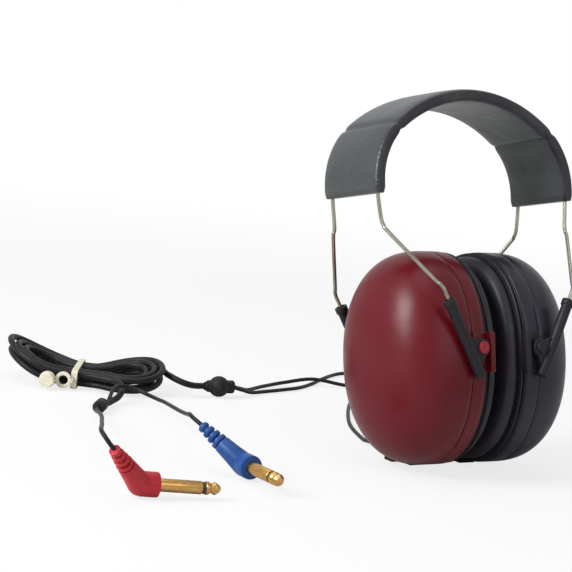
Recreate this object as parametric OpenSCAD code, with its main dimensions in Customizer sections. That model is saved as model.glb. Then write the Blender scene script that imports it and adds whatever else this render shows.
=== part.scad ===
// Audiometric headset: two ear cups on a sprung headband, with a tied cable and two plugs.
// Millimetres. X runs through the ears (red cup at -X), +Y is the back, +Z is up.
// The headset stands on the glands under its cups and leans back; the origin is at
// the middle of its box, on the surface it stands on.

/* [Stance] */
// Angle that the headset leans back from upright, in degrees
lean = 14; // [6:1:18]

/* [Ear cups] */
// Width of a cup, front to back
cup_w = 81; // [74:1:90]
// Height of a cup
cup_h = 111; // [102:1:122]
// How far the middle of a cup lies below its pivot pins
cup_drop = 4; // [1:0.5:8]
// Squareness of the cup's outline, where 2 is an ellipse
cup_square = 2.2; // [2:0.05:2.6]
// Distance from the middle plane to the cup's rim
rim_x = 14; // [13.5:0.5:18]
// Width of the rim ring along X
rim_depth = 9; // [8:0.5:12]
// Wall of the rim ring
rim_wall = 3; // [2.5:0.1:4]
// Depth of the domed shell beyond the rim ring
dome_depth = 36; // [32:1:42]
// Squareness of the dome's profile, where 2 is an ellipse
dome_square = 2.5; // [2:0.1:3]
// Wall of the domed shell
shell_wall = 2.4; // [1.8:0.1:3.2]

/* [Cushions] */
// Thickness of the cushion plate
plate_t = 3.5; // [3:0.25:5]
// Depth of the groove round the cushion plate
plate_groove = 1.4; // [0.8:0.1:2]
// Thickness of an ear cushion
cushion_t = 7.4; // [5:0.2:8]
// Width of the ear opening in a cushion
ear_w = 42; // [36:1:46]
// Height of the ear opening in a cushion
ear_h = 66; // [58:1:72]

/* [Receivers] */
// Diameter of a receiver
receiver_d = 46; // [40:1:50]
// Thickness of a receiver's housing
receiver_t = 10; // [8:0.5:12]
// Thickness of the plate that carries a receiver
receiver_plate_t = 2; // [1.5:0.25:3]
// Thickness of the dust disc in front of that plate
dust_t = 2.2; // [1.5:0.1:2.4]
// Thickness of the damping foam in the dome
foam_t = 7; // [4:0.5:9]
// Diameter of the receiver's screws
screw_d = 2.5; // [2:0.1:3]

/* [Band] */
// Width between the wires' ends at the sheath, middle to middle
band_w = 130; // [122:1:138]
// Height of the sheath's hem above the pivot pins
hem_z = 79; // [74:1:84]
// Height of the band's top above the pivot pins, at mid-thickness
band_top = 132; // [126:1:138]
// Radius of the band's shoulders
shoulder_r = 38; // [34:1:42]
// Width of the padded sheath, front to back
sheath_w = 44; // [40:1:50]
// Thickness of the padded sheath
sheath_t = 8; // [7:0.25:10]
// Thickness of the sheath's cover
cover_t = 0.9; // [0.7:0.1:1.2]
// Distance between the two wires inside the sheath
wire_gap = 37; // [33:0.5:37]
// Diameter of a spring wire
wire_d = 2; // [1.6:0.1:2.4]

/* [Wire holders] */
// Distance from the middle plane to a pivot pin
pin_x = 20; // [19.5:0.25:20.25]
// Angle of a holder from upright, in degrees
holder_tilt = 28; // [24:1:32]
// Distance from a pivot pin to the holder's axis
lug_reach = 7.6; // [7:0.1:9]
// Length of a holder above its pivot pin
holder_up = 31.5; // [28:0.5:34]
// Length of a holder below its pivot pin
holder_down = 12.8; // [11:0.2:15]
// Outer diameter of a holder's tube
holder_d = 5.6; // [5:0.1:6]
// Outer diameter of the collar at a holder's mouth
collar_d = 6.8; // [6.5:0.1:7.5]
// Thickness of a holder's pivot lug
lug_t = 3.6; // [3:0.1:4]
// Diameter of a pivot pin's shank
pin_d = 4; // [3:0.1:4.4]
// Diameter of a pivot pin's head
pin_head_d = 6.4; // [5.5:0.1:7]
// Thickness of a pivot pin's head
pin_head_t = 1.4; // [1:0.1:2]

/* [Cable exits] */
// How far a cable gland stands below the cup, as its foot
gland_drop = 2.5; // [2:0.25:4]
// Length of a strain relief
relief_l = 22; // [16:1:30]
// Diameter of a strain relief where it leaves the gland
relief_d = 5; // [4.5:0.1:6]

/* [Cables] */
// Diameter of a single lead
lead_d = 2.2; // [2:0.1:2.6]
// Diameter of the twin cable
twin_d = 3.6; // [3:0.1:3.8]
// Number of loops in the tied hank
hank_loops = 6; // [4:2:6]
// Pitch between loops that lie side by side
hank_pitch = 4.4; // [4.2:0.1:5]

/* [Plugs] */
// Diameter of a plug's sleeve
jack_d = 6.35; // [6:0.05:6.5]
// Length of a plug's sleeve, ring and tip together
jack_l = 31; // [30:0.5:33]

/* [Hidden] */

// Facets: outlines of cups and cushions, exact round parts, and swept tubes
outline_sides = 48;
foam_sides = 24;
round_fn = 48;
tube_sides = 8;
// Clearances
run_gap = 0.06;  // a shaft that turns or slides in its hole
seat_gap = 0.1;  // a piece that drops into its seat
air_gap = 0.3;   // pieces that move past each other

shell_x = rim_x + rim_depth;
plate_x = rim_x - plate_t;
crest_x = plate_x - cushion_t;

// ---- Outlines and sweeps ----

function signed_pow(v, e) = sign(v) * pow(abs(v), e);
// One point of a rounded outline with half-sizes w and h
function oval(w, h, angle, n) =
    [w * signed_pow(cos(angle), 2 / n), h * signed_pow(sin(angle), 2 / n)];
// A ring of such points at distance x from the middle plane, as a cup's section
function cup_ring(x, w, h, sides) =
    [for (i = [0:sides - 1]) let(p = oval(w, h, 360 * i / sides, cup_square)) [x, p.x, p.y - cup_drop]];
function cup_outline(w, h, sides = outline_sides) =
    [for (i = [0:sides - 1]) oval(w, h, 360 * i / sides, cup_square)];

// Two triangles for every step between neighbouring rings
function wall_faces(rings, sides, loop = false) =
    [for (r = [0:rings - (loop ? 1 : 2)], i = [0:sides - 1], half = [0:1])
        let(j = (i + 1) % sides, s = (r + 1) % rings)
        half == 0 ? [r * sides + i, s * sides + j, r * sides + j]
                  : [r * sides + i, s * sides + i, s * sides + j]];

// A closed skin over a row of rings that turn anticlockwise about their travel
module skin(rings) {
    sides = len(rings[0]);
    count = len(rings);
    polyhedron(
        points = [for (ring = rings, p = ring) p],
        faces = concat(
            [[for (i = [0:sides - 1]) i]],
            wall_faces(count, sides),
            [[for (i = [sides - 1:-1:0]) (count - 1) * sides + i]]));
}

// The same for rings that close on themselves, as round an ear opening
module ring_skin(rings) {
    polyhedron(points = [for (ring = rings, p = ring) p], faces = wall_faces(len(rings), len(rings[0]), true));
}

function unit(v) = v / norm(v);
// Direction of travel at point i of a path
function heading(path, i) =
    i == 0 ? unit(path[1] - path[0])
    : i == len(path) - 1 ? unit(path[i] - path[i - 1])
    : unit(unit(path[i] - path[i - 1]) + unit(path[i + 1] - path[i]));
// Rings of a round tube along a path; side is a direction the path never takes
function tube_rings(path, r, side, sides = tube_sides) =
    [for (i = [0:len(path) - 1])
        let(t = heading(path, i), u = unit(cross(side, t)), v = cross(t, u))
        [for (k = [0:sides - 1]) let(a = 360 * (k + 0.5) / sides) path[i] + r * (u * cos(a) + v * sin(a))]];
module tube(path, r, side = [0, 0, 1], sides = tube_sides) {
    skin(tube_rings(path, r, side, sides));
}

// Points of a smooth curve through hand-chosen points
function spline_point(a, b, c, d, t) =
    0.5 * (2 * b + (c - a) * t + (2 * a - 5 * b + 4 * c - d) * t * t + (3 * b - a - 3 * c + d) * t * t * t);
function smooth(points, steps) = concat(
    [for (i = [0:len(points) - 2], k = [0:steps - 1])
        spline_point(points[max(i - 1, 0)], points[i], points[i + 1],
            points[min(i + 2, len(points) - 1)], k / steps)],
    [points[len(points) - 1]]);

// ---- Placing ----

// Lowest point of a cup's rim below the pivot pins, once it leans back
function rim_low() = max([for (p = cup_outline(cup_w / 2, cup_h / 2)) p.x * sin(lean) - (p.y - cup_drop) * cos(lean)]);
pivot_z = rim_low() + gland_drop;
// The headset's front and back reach, which set where its middle lies
front_reach = holder_y() + holder_d / 2;
back_reach = sheath_w / 2 * cos(lean) + (band_top + sheath_t / 4) * sin(lean);
holder_foot_drop = holder_down * cos(holder_tilt) + lug_reach * sin(holder_tilt);
pivot_y = (front_reach * cos(lean) + holder_foot_drop * sin(lean) - back_reach) / 2;

// From the headset's own upright frame, with its origin between the pins, to the stance
module stand() {
    translate([0, pivot_y, pivot_z]) rotate([-lean, 0, 0]) children();
}
function stood(p) = [p.x,
    pivot_y + p.y * cos(lean) + p.z * sin(lean),
    pivot_z - p.y * sin(lean) + p.z * cos(lean)];

// Children are drawn for the blue side, and mirrored for the red one
module on_side(side) {
    mirror([side == "red" ? 1 : 0, 0, 0]) children();
}
// Children are drawn at the back, and mirrored for the front
module at_end(end) {
    mirror([0, end == "front" ? 1 : 0, 0]) children();
}
// An outline in the cup's plane, from x outwards over a length
module cup_slab(x, length) {
    translate([x, 0, -cup_drop]) rotate([90, 0, 90]) linear_extrude(length) children();
}

// ---- Band ----

// The arch is two shoulders and a flatter top, all tangent, over straight ends
arch_base = hem_z + 6;
shoulder_x = band_w / 2 - shoulder_r;
crown_reach = band_top - shoulder_r;
crown_z = (crown_reach * crown_reach - arch_base * arch_base - shoulder_x * shoulder_x)
    / (2 * (crown_reach - arch_base));
crown_r = band_top - crown_z;
shoulder_end = atan2(arch_base - crown_z, shoulder_x);
// Middle of the band where its outward normal has this angle
function arch(angle) =
    angle < shoulder_end ? [shoulder_x + shoulder_r * cos(angle), 0, arch_base + shoulder_r * sin(angle)]
    : angle > 180 - shoulder_end ? [-shoulder_x + shoulder_r * cos(angle), 0, arch_base + shoulder_r * sin(angle)]
    : [crown_r * cos(angle), 0, crown_z + crown_r * sin(angle)];

weld_angle = 48;
// Thickness left at the cross welds near each end of the sheath
function weld_pinch(angle) =
    1 - 0.22 * exp(-pow((angle - weld_angle) / 4, 2)) - 0.22 * exp(-pow((180 - weld_angle - angle) / 4, 2));
// A section of the sheath: half-width w, half-thickness h, its edges rounded
function sheath_ring(centre, angle, w, h, sides, pinch = 1) =
    [for (i = [0:sides - 1]) let(p = oval(w, h * pinch, 360 * (i + 0.5) / sides, 4))
        centre + [p.y * cos(angle), -p.x, p.y * sin(angle)]];
function sheath_rings(w, h, inset, sides) = concat(
    [sheath_ring(arch(0) + [0, 0, hem_z + inset - arch_base], 0, w, h, sides)],
    [for (a = [0:6:180]) sheath_ring(arch(a), a, w, h, sides, weld_pinch(a))],
    [sheath_ring(arch(180) + [0, 0, hem_z + inset - arch_base], 180, w, h, sides)]);

module band_cover() {
    color([0.2, 0.2, 0.21]) stand() difference() {
        skin(sheath_rings(sheath_w / 2, sheath_t / 2, 0, 16));
        skin(sheath_rings(sheath_w / 2 - cover_t, sheath_t / 2 - cover_t, -1, 16));
    }
}

module band_foam() {
    gap = cover_t + 2 * seat_gap;
    color([0.35, 0.35, 0.33]) stand()
        skin(sheath_rings(sheath_w / 2 - gap, sheath_t / 2 - gap, 1, 12));
}

// ---- Wires and their holders ----

holder_dir = [sin(holder_tilt), 0, cos(holder_tilt)];
// Foot of the holder's axis, level with its pin along the tube
holder_foot = [pin_x + lug_reach * cos(holder_tilt), 0, -lug_reach * sin(holder_tilt)];
// The tube stands clear of the cup's side
function holder_y() = cup_w / 2 + air_gap + holder_d / 2;
holder_bore_end = 2.2;
wire_end = holder_down - holder_bore_end - 1.5;
wire_straight = holder_up + 5;
function on_wire(s) = [holder_foot.x, holder_y(), holder_foot.z] + s * holder_dir;

// The wire from the holder's mouth to the sheath, as bent by hand
hem_point = [band_w / 2, wire_gap / 2, hem_z];
function wire_side() = [
    on_wire(wire_straight - 2),
    on_wire(wire_straight + 1),
    on_wire(wire_straight + 4) + [0.2, -1.2, 0],
    on_wire(wire_straight + 7.5) + [0.6, -4, 0],
    hem_point + [-3.4, 4.4, -20.5],
    hem_point + [-2, 1.6, -16.5],
    hem_point + [-1.2, 0.5, -12],
    hem_point];
function flip_x(p) = [-p.x, p.y, p.z];
function wire_path() = concat(
    wire_side(),
    [for (a = [0:7.5:180]) arch(a) + [0, wire_gap / 2, 0]],
    [for (i = [len(wire_side()) - 1:-1:0]) flip_x(wire_side()[i])]);

module band_wire(end) {
    color([0.42, 0.41, 0.33]) stand() at_end(end) {
        tube(wire_path(), wire_d / 2 / cos(22.5) + 0.03, [0, 1, 0]);
        for (side = ["red", "blue"]) on_side(side)
            translate(on_wire(-wire_end)) rotate([0, holder_tilt, 0])
                cylinder(d = wire_d, h = wire_end + wire_straight - 0.5, $fn = round_fn);
    }
}

lug_y = cup_w / 2 + 2 * air_gap;
module holder(side, end) {
    mouth = 2;
    color([0.13, 0.13, 0.14]) stand() on_side(side) at_end(end) difference() {
        union() {
            translate(on_wire(-holder_down)) rotate([0, holder_tilt, 0]) {
                cylinder(d = holder_d, h = holder_down + holder_up, $fn = round_fn);
                translate([0, 0, holder_down + holder_up - 3.2]) cylinder(d = collar_d, h = 3.2, $fn = round_fn);
            }
            translate([pin_x, lug_y + lug_t, 0]) rotate([90, 0, 0]) lug_blank();
        }
        translate(on_wire(-holder_down + holder_bore_end)) rotate([0, holder_tilt, 0])
            cylinder(d = wire_d + 2 * run_gap, h = holder_down + holder_up, $fn = round_fn);
        translate(on_wire(holder_up - mouth)) rotate([0, holder_tilt, 0])
            cylinder(d = wire_d + 1.8, h = mouth + 1, $fn = round_fn);
        translate([pin_x, lug_y - 1, 0]) rotate([-90, 0, 0])
            cylinder(d = pin_d + 2 * run_gap, h = lug_t + 2, $fn = round_fn);
    }
}
// The lug: an eye round the pin, and a slightly thinner web out to the tube
module lug_blank() {
    eye_r = pin_head_d / 2 + 1.4;
    web_step = 0.3;
    web_root = eye_r - 0.6;
    web_half = holder_down * 0.85;
    cylinder(r = eye_r, h = lug_t, $fn = round_fn);
    rotate([0, 0, -holder_tilt]) translate([0, 0, web_step]) linear_extrude(lug_t - 2 * web_step)
        polygon([[0, web_root], [lug_reach, web_half], [lug_reach, -web_half], [0, -web_root]]);
}

// ---- Pivot pins and rim brackets ----

bracket_low = -12.5;
bracket_high = 8;
bracket_in = cup_w / 2 - rim_wall + 0.8;
bracket_face = cup_w / 2;
module pin(side, end) {
    head_y = lug_y + lug_t + seat_gap;
    color(side == "red" ? [0.72, 0.12, 0.16] : [0.2, 0.2, 0.21]) stand() on_side(side) at_end(end) {
        translate([pin_x, bracket_in + seat_gap, 0]) rotate([-90, 0, 0])
            cylinder(d = pin_d, h = head_y - bracket_in, $fn = round_fn);
        translate([pin_x, head_y, 0]) rotate([-90, 0, 0]) {
            cylinder(d = pin_head_d, h = pin_head_t * 0.6, $fn = round_fn);
            cylinder(d1 = pin_head_d, d2 = pin_head_d - 1.2, h = pin_head_t, $fn = round_fn);
        }
    }
}

// Space that a bracket takes in the rim ring and the cushion plate
module bracket_block(gap = 0) {
    translate([plate_x + 0.3 - gap, bracket_in - gap, bracket_low - gap])
        cube([shell_x - plate_x - 0.4 + 2 * gap, bracket_face - bracket_in + 8, bracket_high - bracket_low + 2 * gap]);
}
stop_t = 3.6;
module bracket(side, end) {
    stop_x = pin_x - pin_head_d / 2 - 1.4 - air_gap - 1;
    color([0.1, 0.1, 0.11]) stand() on_side(side) at_end(end) difference() {
        bracket_block();
        // the eye of the lug swings in front of the low part
        translate([stop_x, bracket_face, bracket_low - 1])
            cube([shell_x, stop_t + 9, bracket_high - bracket_low + 2]);
        translate([plate_x - 1, bracket_face + stop_t, bracket_low - 1])
            cube([shell_x, 9, bracket_high - bracket_low + 2]);
        translate([pin_x, bracket_in - 1, 0]) rotate([-90, 0, 0])
            cylinder(d = pin_d + 0.04, h = bracket_face, $fn = round_fn);
    }
}

// ---- Cup shells ----

dome_rings = 9;
dome_step = 9.4;
// Sections of the dome from the rim ring's edge out to its face
function dome(w, h, depth, sides, x = shell_x) = [for (i = [0:dome_rings])
    let(a = i * dome_step, s = pow(cos(a), 2 / dome_square))
    cup_ring(x + depth * pow(sin(a), 2 / dome_square), w * s, h * s, sides)];

module shell(side) {
    inner_w = cup_w / 2 - shell_wall;
    inner_h = cup_h / 2 - shell_wall;
    color(side == "red" ? [0.45, 0.07, 0.1] : [0.14, 0.15, 0.19]) stand() on_side(side) difference() {
        skin(dome(cup_w / 2, cup_h / 2, dome_depth, outline_sides));
        skin(concat([cup_ring(shell_x - 1, inner_w, inner_h, outline_sides)],
            dome(inner_w, inner_h, dome_depth - shell_wall, outline_sides)));
        on_stand_plane(side) shell_plug_body(seat_gap);
    }
}

module rim_ring(side) {
    color(side == "red" ? [0.5, 0.1, 0.13] : [0.14, 0.15, 0.19]) stand() on_side(side) difference() {
        cup_slab(rim_x, rim_depth) difference() {
            polygon(cup_outline(cup_w / 2, cup_h / 2));
            polygon(cup_outline(cup_w / 2 - rim_wall, cup_h / 2 - rim_wall));
        }
        for (end = ["front", "rear"]) at_end(end) bracket_block(seat_gap);
        on_stand_plane(side) gland_body(seat_gap);
    }
}

module cushion_plate(side) {
    groove_x = plate_t / 3;
    color([0.12, 0.12, 0.14]) stand() on_side(side) difference() {
        union() {
            cup_slab(plate_x, plate_t) polygon(cup_outline(cup_w / 2 - plate_groove - 0.4, cup_h / 2 - plate_groove - 0.4));
            cup_slab(plate_x, groove_x) polygon(cup_outline(cup_w / 2 - 0.4, cup_h / 2 - 0.4));
            cup_slab(rim_x - groove_x, groove_x) polygon(cup_outline(cup_w / 2 - 0.4, cup_h / 2 - 0.4));
        }
        cup_slab(plate_x - 1, plate_t + 2) polygon(cup_outline(ear_w / 2 + 1, ear_h / 2 + 1));
        for (end = ["front", "rear"]) at_end(end) bracket_block(seat_gap);
        on_stand_plane(side) gland_body(seat_gap);
    }
}

// A cushion's section: share of the way in to the ear opening, and share of its thickness
cushion_section = [[0.08, 0], [0.02, 0.16], [0, 0.42], [0.05, 0.72], [0.2, 0.94], [0.42, 1],
    [0.62, 1], [0.84, 0.9], [0.97, 0.66], [1, 0.36], [0.96, 0.14], [0.9, 0]];
module ear_cushion(side) {
    out_w = cup_w / 2 - 2.4;
    out_h = cup_h / 2 - 2.4;
    color([0.2, 0.2, 0.21]) stand() on_side(side)
        ring_skin([for (i = [0:outline_sides - 1]) let(a = 360 * i / outline_sides)
            [for (q = cushion_section) let(
                p = oval(out_w + (ear_w / 2 - out_w) * q[0], out_h + (ear_h / 2 - out_h) * q[0], a, cup_square))
                [plate_x - q[1] * cushion_t, p.x, p.y - cup_drop]]]);
}

// ---- Inside a cup ----

dust_x = rim_x + seat_gap;
carrier_x = dust_x + dust_t + seat_gap;
receiver_x = carrier_x + receiver_plate_t;
module dust_disc(side) {
    color([0.3, 0.3, 0.3]) stand() on_side(side) difference() {
        cup_slab(dust_x, dust_t)
            polygon(cup_outline(cup_w / 2 - rim_wall - 2.5, cup_h / 2 - rim_wall - 2.5, foam_sides));
        on_stand_plane(side) gland_body(seat_gap);
    }
}

screw_spread = receiver_d / 2 - 3.5;
module receiver_plate(side) {
    color([0.35, 0.35, 0.36]) stand() on_side(side) difference() {
        cup_slab(carrier_x, receiver_plate_t) polygon(cup_outline(cup_w / 2 - rim_wall - 1.4, cup_h / 2 - rim_wall - 1.4));
        for (a = [0:45:315]) at_receiver(carrier_x - 1) rotate([0, 0, a]) translate([receiver_d / 4, 0, 0])
            cylinder(d = receiver_d / 9, h = receiver_plate_t + 2, $fn = round_fn);
        each_screw(carrier_x - 1) cylinder(d = screw_d + 2 * seat_gap, h = receiver_plate_t + 2, $fn = round_fn);
        on_stand_plane(side) gland_body(seat_gap);
    }
}
module at_receiver(x) {
    translate([x, 0, -cup_drop]) rotate([0, 90, 0]) children();
}
module each_screw(x) {
    for (a = [45:90:315]) at_receiver(x) rotate([0, 0, a]) translate([screw_spread, 0, 0]) children();
}

module receiver(side) {
    color([0.16, 0.16, 0.17]) stand() on_side(side) difference() {
        at_receiver(receiver_x) {
            cylinder(d = receiver_d, h = receiver_t, $fn = 64);
            cylinder(d = receiver_d * 0.55, h = receiver_t + 4, $fn = 64);
        }
        at_receiver(receiver_x - 1) cylinder(d = receiver_d * 0.72, h = 2.5, $fn = 64);
        each_screw(receiver_x - 1) cylinder(d = screw_d + 0.04, h = 6, $fn = round_fn);
    }
}
module receiver_screws(side) {
    color([0.6, 0.6, 0.6]) stand() on_side(side) each_screw(carrier_x)
        cylinder(d = screw_d, h = receiver_plate_t + 4, $fn = round_fn);
}
module damping_foam(side) {
    gap = shell_wall + air_gap;
    color([0.3, 0.28, 0.26]) stand() on_side(side) difference() {
        skin(dome(cup_w / 2 - gap, cup_h / 2 - gap, dome_depth - gap, foam_sides, shell_x + air_gap));
        skin(concat([cup_ring(shell_x - 1, cup_w / 2 - gap - foam_t, cup_h / 2 - gap - foam_t, foam_sides)],
            dome(cup_w / 2 - gap - foam_t, cup_h / 2 - gap - foam_t, dome_depth - gap - foam_t, foam_sides)));
        on_stand_plane(side) shell_plug_body(air_gap);
    }
}

// ---- Cable exits ----

// Children in the standing frame, brought into a cup's own frame
module on_stand_plane(side) {
    rotate([lean, 0, 0]) translate([0, -pivot_y, -pivot_z]) children();
}
gland_x = rim_x + rim_depth / 2;
gland_l = 13;
gland_h = 6;
gland_back = 17.8;
gland_y = stood([0, 0, -cup_drop - cup_h / 2]).y + gland_back;
module gland_body(gap = 0) {
    translate([plate_x + 1 - gap, gland_y - gland_l / 2 - gap, -gap])
        cube([shell_x - plate_x - 1.2 + 2 * gap, gland_l + 2 * gap, gland_h + 2 * gap]);
}
module cable_gland(side) {
    color([0.1, 0.1, 0.11]) on_side(side) difference() {
        intersection() {
            translate([plate_x + 1, gland_y - gland_l / 2, 0]) cube([shell_x - plate_x - 1.2, gland_l, gland_h]);
            translate([gland_x, gland_y, -gland_h]) rotate([90, 0, 0])
                cylinder(r = 2 * gland_h, h = gland_l + 2, center = true, $fn = 64);
        }
        translate([gland_x, gland_y + gland_l / 2 - 3, relief_z]) rotate([-90, 0, 0])
            cylinder(d = relief_d - 1 + 0.04, h = 5, $fn = round_fn);
    }
}
relief_z = relief_d / 2 + 0.6;
relief_end = gland_y + gland_l / 2 + relief_l;
module strain_relief(side) {
    ribs = 5;
    tip_d = lead_d + 1.2;
    step = (relief_l - 3) / ribs;
    color([0.12, 0.12, 0.13]) on_side(side)
        translate([gland_x, gland_y + gland_l / 2 - 3, relief_z]) rotate([-90, 0, 0]) rotate_extrude($fn = 32)
            polygon(concat(
                [[0, 0], [relief_d / 2 - 0.5, 0], [relief_d / 2 - 0.5, 3]],
                [for (i = [0:ribs - 1], half = [0:1])
                    let(r = relief_d / 2 - (relief_d - tip_d) / 2 * i / ribs)
                    half == 0 ? [r, 3 + i * step] : [r, 3 + (i + 0.65) * step]],
                [[tip_d / 2, relief_l + 3 - step * 0.35], [tip_d / 2, relief_l + 3], [0, relief_l + 3]]));
}

plug_x = shell_x + 4;
module shell_plug_body(gap = 0) {
    translate([plug_x - gap, gland_y - 3.5 - gap, 1.5 - gap]) cube([6 + 2 * gap, 7 + 2 * gap, gland_h - 0.5 + 2 * gap]);
}
module shell_plug(side) {
    color([0.1, 0.1, 0.11]) on_side(side) shell_plug_body();
}

// ---- Cables ----

// Yoke where the two cup leads become one cable, lying on the surface
yoke_r = 6;
yoke_at = [-37, 152, yoke_r + 0.05];
yoke_dir = unit([-9, 2, 0]);
yoke_half = 9;
yoke_side = [yoke_dir.y, -yoke_dir.x, 0];
lead_z = lead_d / 2 + 0.05;
lead_apart = lead_d / 2 + 0.2;
cup_exit = relief_end + 0.4;
module lead_tube(points) {
    tube(smooth(points, 2), lead_d / 2);
}

module red_cup_lead() {
    color([0.1, 0.1, 0.11]) lead_tube([
        [-gland_x, cup_exit, relief_z], [-18, 37, 2.6], [-13, 48, lead_z], [2, 78, lead_z],
        [31, 116, lead_z], [56, 141, lead_z], [76, 153, lead_z], [76, 162, lead_z], [65, 167, 1.9],
        [48, 174, 4], [29, 176, 1.9], [8, 170, lead_z], [-10, 160, 1.8], [-20, 154.5, 4],
        yoke_at - yoke_dir * (yoke_half + 0.1) + yoke_side * lead_apart]);
}
module blue_cup_lead() {
    color([0.1, 0.1, 0.11]) lead_tube([
        [gland_x, cup_exit, relief_z], [20, 38, 2.4], [35, 60, lead_z], [70, 110, lead_z],
        [97, 150, lead_z], [106, 180, lead_z], [102, 196, lead_z], [89, 199, lead_z], [68, 188, lead_z],
        [48, 174, lead_z], [32, 165, lead_z], [18, 161, lead_z], [2, 157.5, lead_z], [-12, 153, 1.8],
        [-21, 150.5, 4],
        yoke_at - yoke_dir * (yoke_half + 0.1) - yoke_side * lead_apart]);
}

module lead_yoke() {
    color([0.09, 0.09, 0.1]) translate(yoke_at) rotate([0, 90, atan2(yoke_dir.y, yoke_dir.x)]) {
        sphere(r = yoke_r, $fn = round_fn);
        cylinder(d = twin_d * 1.9, h = yoke_half * 0.8, $fn = round_fn);
        cylinder(d = twin_d * 1.4, h = yoke_half, $fn = round_fn);
        mirror([0, 0, 1]) cylinder(d = twin_d * 2.1, h = yoke_half, $fn = round_fn);
    }
}

// ---- Tied hank ----

// The loops follow a bone-shaped run: two round lobes joined by a narrow waist.
// Each turn lies one pitch inside the last, then the next layer winds back out.
hank_middle = [-104, 188];
hank_turn = -38;
hank_half = 46;
hank_start = 0.233;
hank_turns = hank_loops - hank_start;
hank_in = hank_pitch * hank_turns / 2;
waist_half = hank_in + twin_d / 2 + 1.5;
lobe_r = hank_half / 2;
lobe_at = hank_half - lobe_r;
// Radius of the waist's hollow, tangent to both lobes
hollow_r = (lobe_at * lobe_at + waist_half * waist_half - lobe_r * lobe_r) / (2 * (lobe_r - waist_half));
lobe_end = atan2(waist_half + hollow_r, -lobe_at);
lobe_share = 0.8;
layer_pitch = twin_d * 1.5;
layer_z = twin_d / 2 + 1.1;

// Half a turn at the inset: round one lobe, then along the waist
function half_turn(v, inset) = v < lobe_share
    ? let(a = lobe_end * (2 * v / lobe_share - 1)) [lobe_at + (lobe_r - inset) * cos(a), (lobe_r - inset) * sin(a)]
    : let(a = lobe_end - 180 + (180 - 2 * lobe_end) * (v - lobe_share) / (1 - lobe_share))
        [(hollow_r + inset) * cos(a), waist_half + hollow_r + (hollow_r + inset) * sin(a)];
function turn_point(u, inset) = let(v = (u - floor(u)) * 2) v < 1 ? half_turn(v, inset) : -half_turn(v - 1, inset);
// How far the loops stand up at each end, as they spring from the tie
function lift(p) = 0.008 * pow(max(0, -p.x - 4), 2) + 0.006 * max(0, p.x - 4) * max(0, p.y + lobe_r);
function layer_rise(t) = min(1, max(0, (t - hank_turns / 2 + 0.25) * 2)) * layer_pitch;
function hank_place(p, z) = [
    hank_middle.x + p.x * cos(hank_turn) - p.y * sin(hank_turn),
    hank_middle.y + p.x * sin(hank_turn) + p.y * cos(hank_turn),
    layer_z + z + lift(p)];
function hank_point(t) =
    hank_place(turn_point(hank_start + t, hank_pitch * min(t, hank_turns - t)), layer_rise(t));
hank_steps = ceil(24 * hank_turns);
hank_curve = [for (i = [0:hank_steps]) hank_point(hank_turns * i / hank_steps)];
hank_in_dir = unit(hank_curve[1] - hank_curve[0]);
hank_out_dir = unit(hank_curve[hank_steps] - hank_curve[hank_steps - 1]);
hank_path = concat([hank_curve[0] - hank_in_dir * twin_d], hank_curve,
    [hank_curve[hank_steps] + hank_out_dir * twin_d]);
// Least gap between turns of the hank, measured on its points
echo(hank_gap = min([for (i = [0:hank_steps - 12], j = [i + 12:hank_steps])
    norm(hank_curve[i] - hank_curve[j])]) - twin_d);

module cable_hank() {
    color([0.1, 0.1, 0.11]) tube(hank_path, twin_d / 2, [0, 0, 1], 6);
}
module twin_cable() {
    color([0.1, 0.1, 0.11]) tube(smooth([
        yoke_at + yoke_dir * (yoke_half + 0.1), yoke_at + yoke_dir * (yoke_half + 2.6),
        [-51.5, 154.4, 6.3], [-59.3, 153.6, 8], [-63.4, 156.6, 9.4],
        hank_path[0] - hank_in_dir * 2.4, hank_path[0] - hank_in_dir * 0.1], 2), twin_d / 2);
}

// Length of cable from the hank to the sleeve where it splits
split_at = [-134, 124, 3.6];
split_dir = unit([-14, -15, 0]);
split_side = [-split_dir.y, split_dir.x, 0];
split_half = 5;
module tail_cable() {
    color([0.1, 0.1, 0.11]) tube(smooth([
        hank_path[hank_steps + 2] + hank_out_dir * 0.1, hank_path[hank_steps + 2] + hank_out_dir * 2.4,
        [-102.6, 156.4, 8.5], [-103.7, 149.5, 6.9], [-111.3, 142.4, 3.3], [-122.7, 136.8, 2.4],
        split_at - split_dir * (split_half + 2.6) - split_side * lead_apart,
        split_at - split_dir * (split_half + 0.1) - split_side * lead_apart], 2), twin_d / 2);
}
module split_sleeve() {
    color([0.09, 0.09, 0.1]) translate(split_at - split_dir * split_half)
        rotate([0, 90, atan2(split_dir.y, split_dir.x)]) {
            cylinder(d = 7, h = 2 * split_half, $fn = round_fn);
        }
}

// Releasable tie round the waist: a band, a loop and a release button
tie_x = -5;
tie_t = 0.8;
tie_w = 3.4;
// How square the tie's loop is, as it lies flat over two rows of cable
tie_square = 10;
tie_slack = 0.8;
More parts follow.
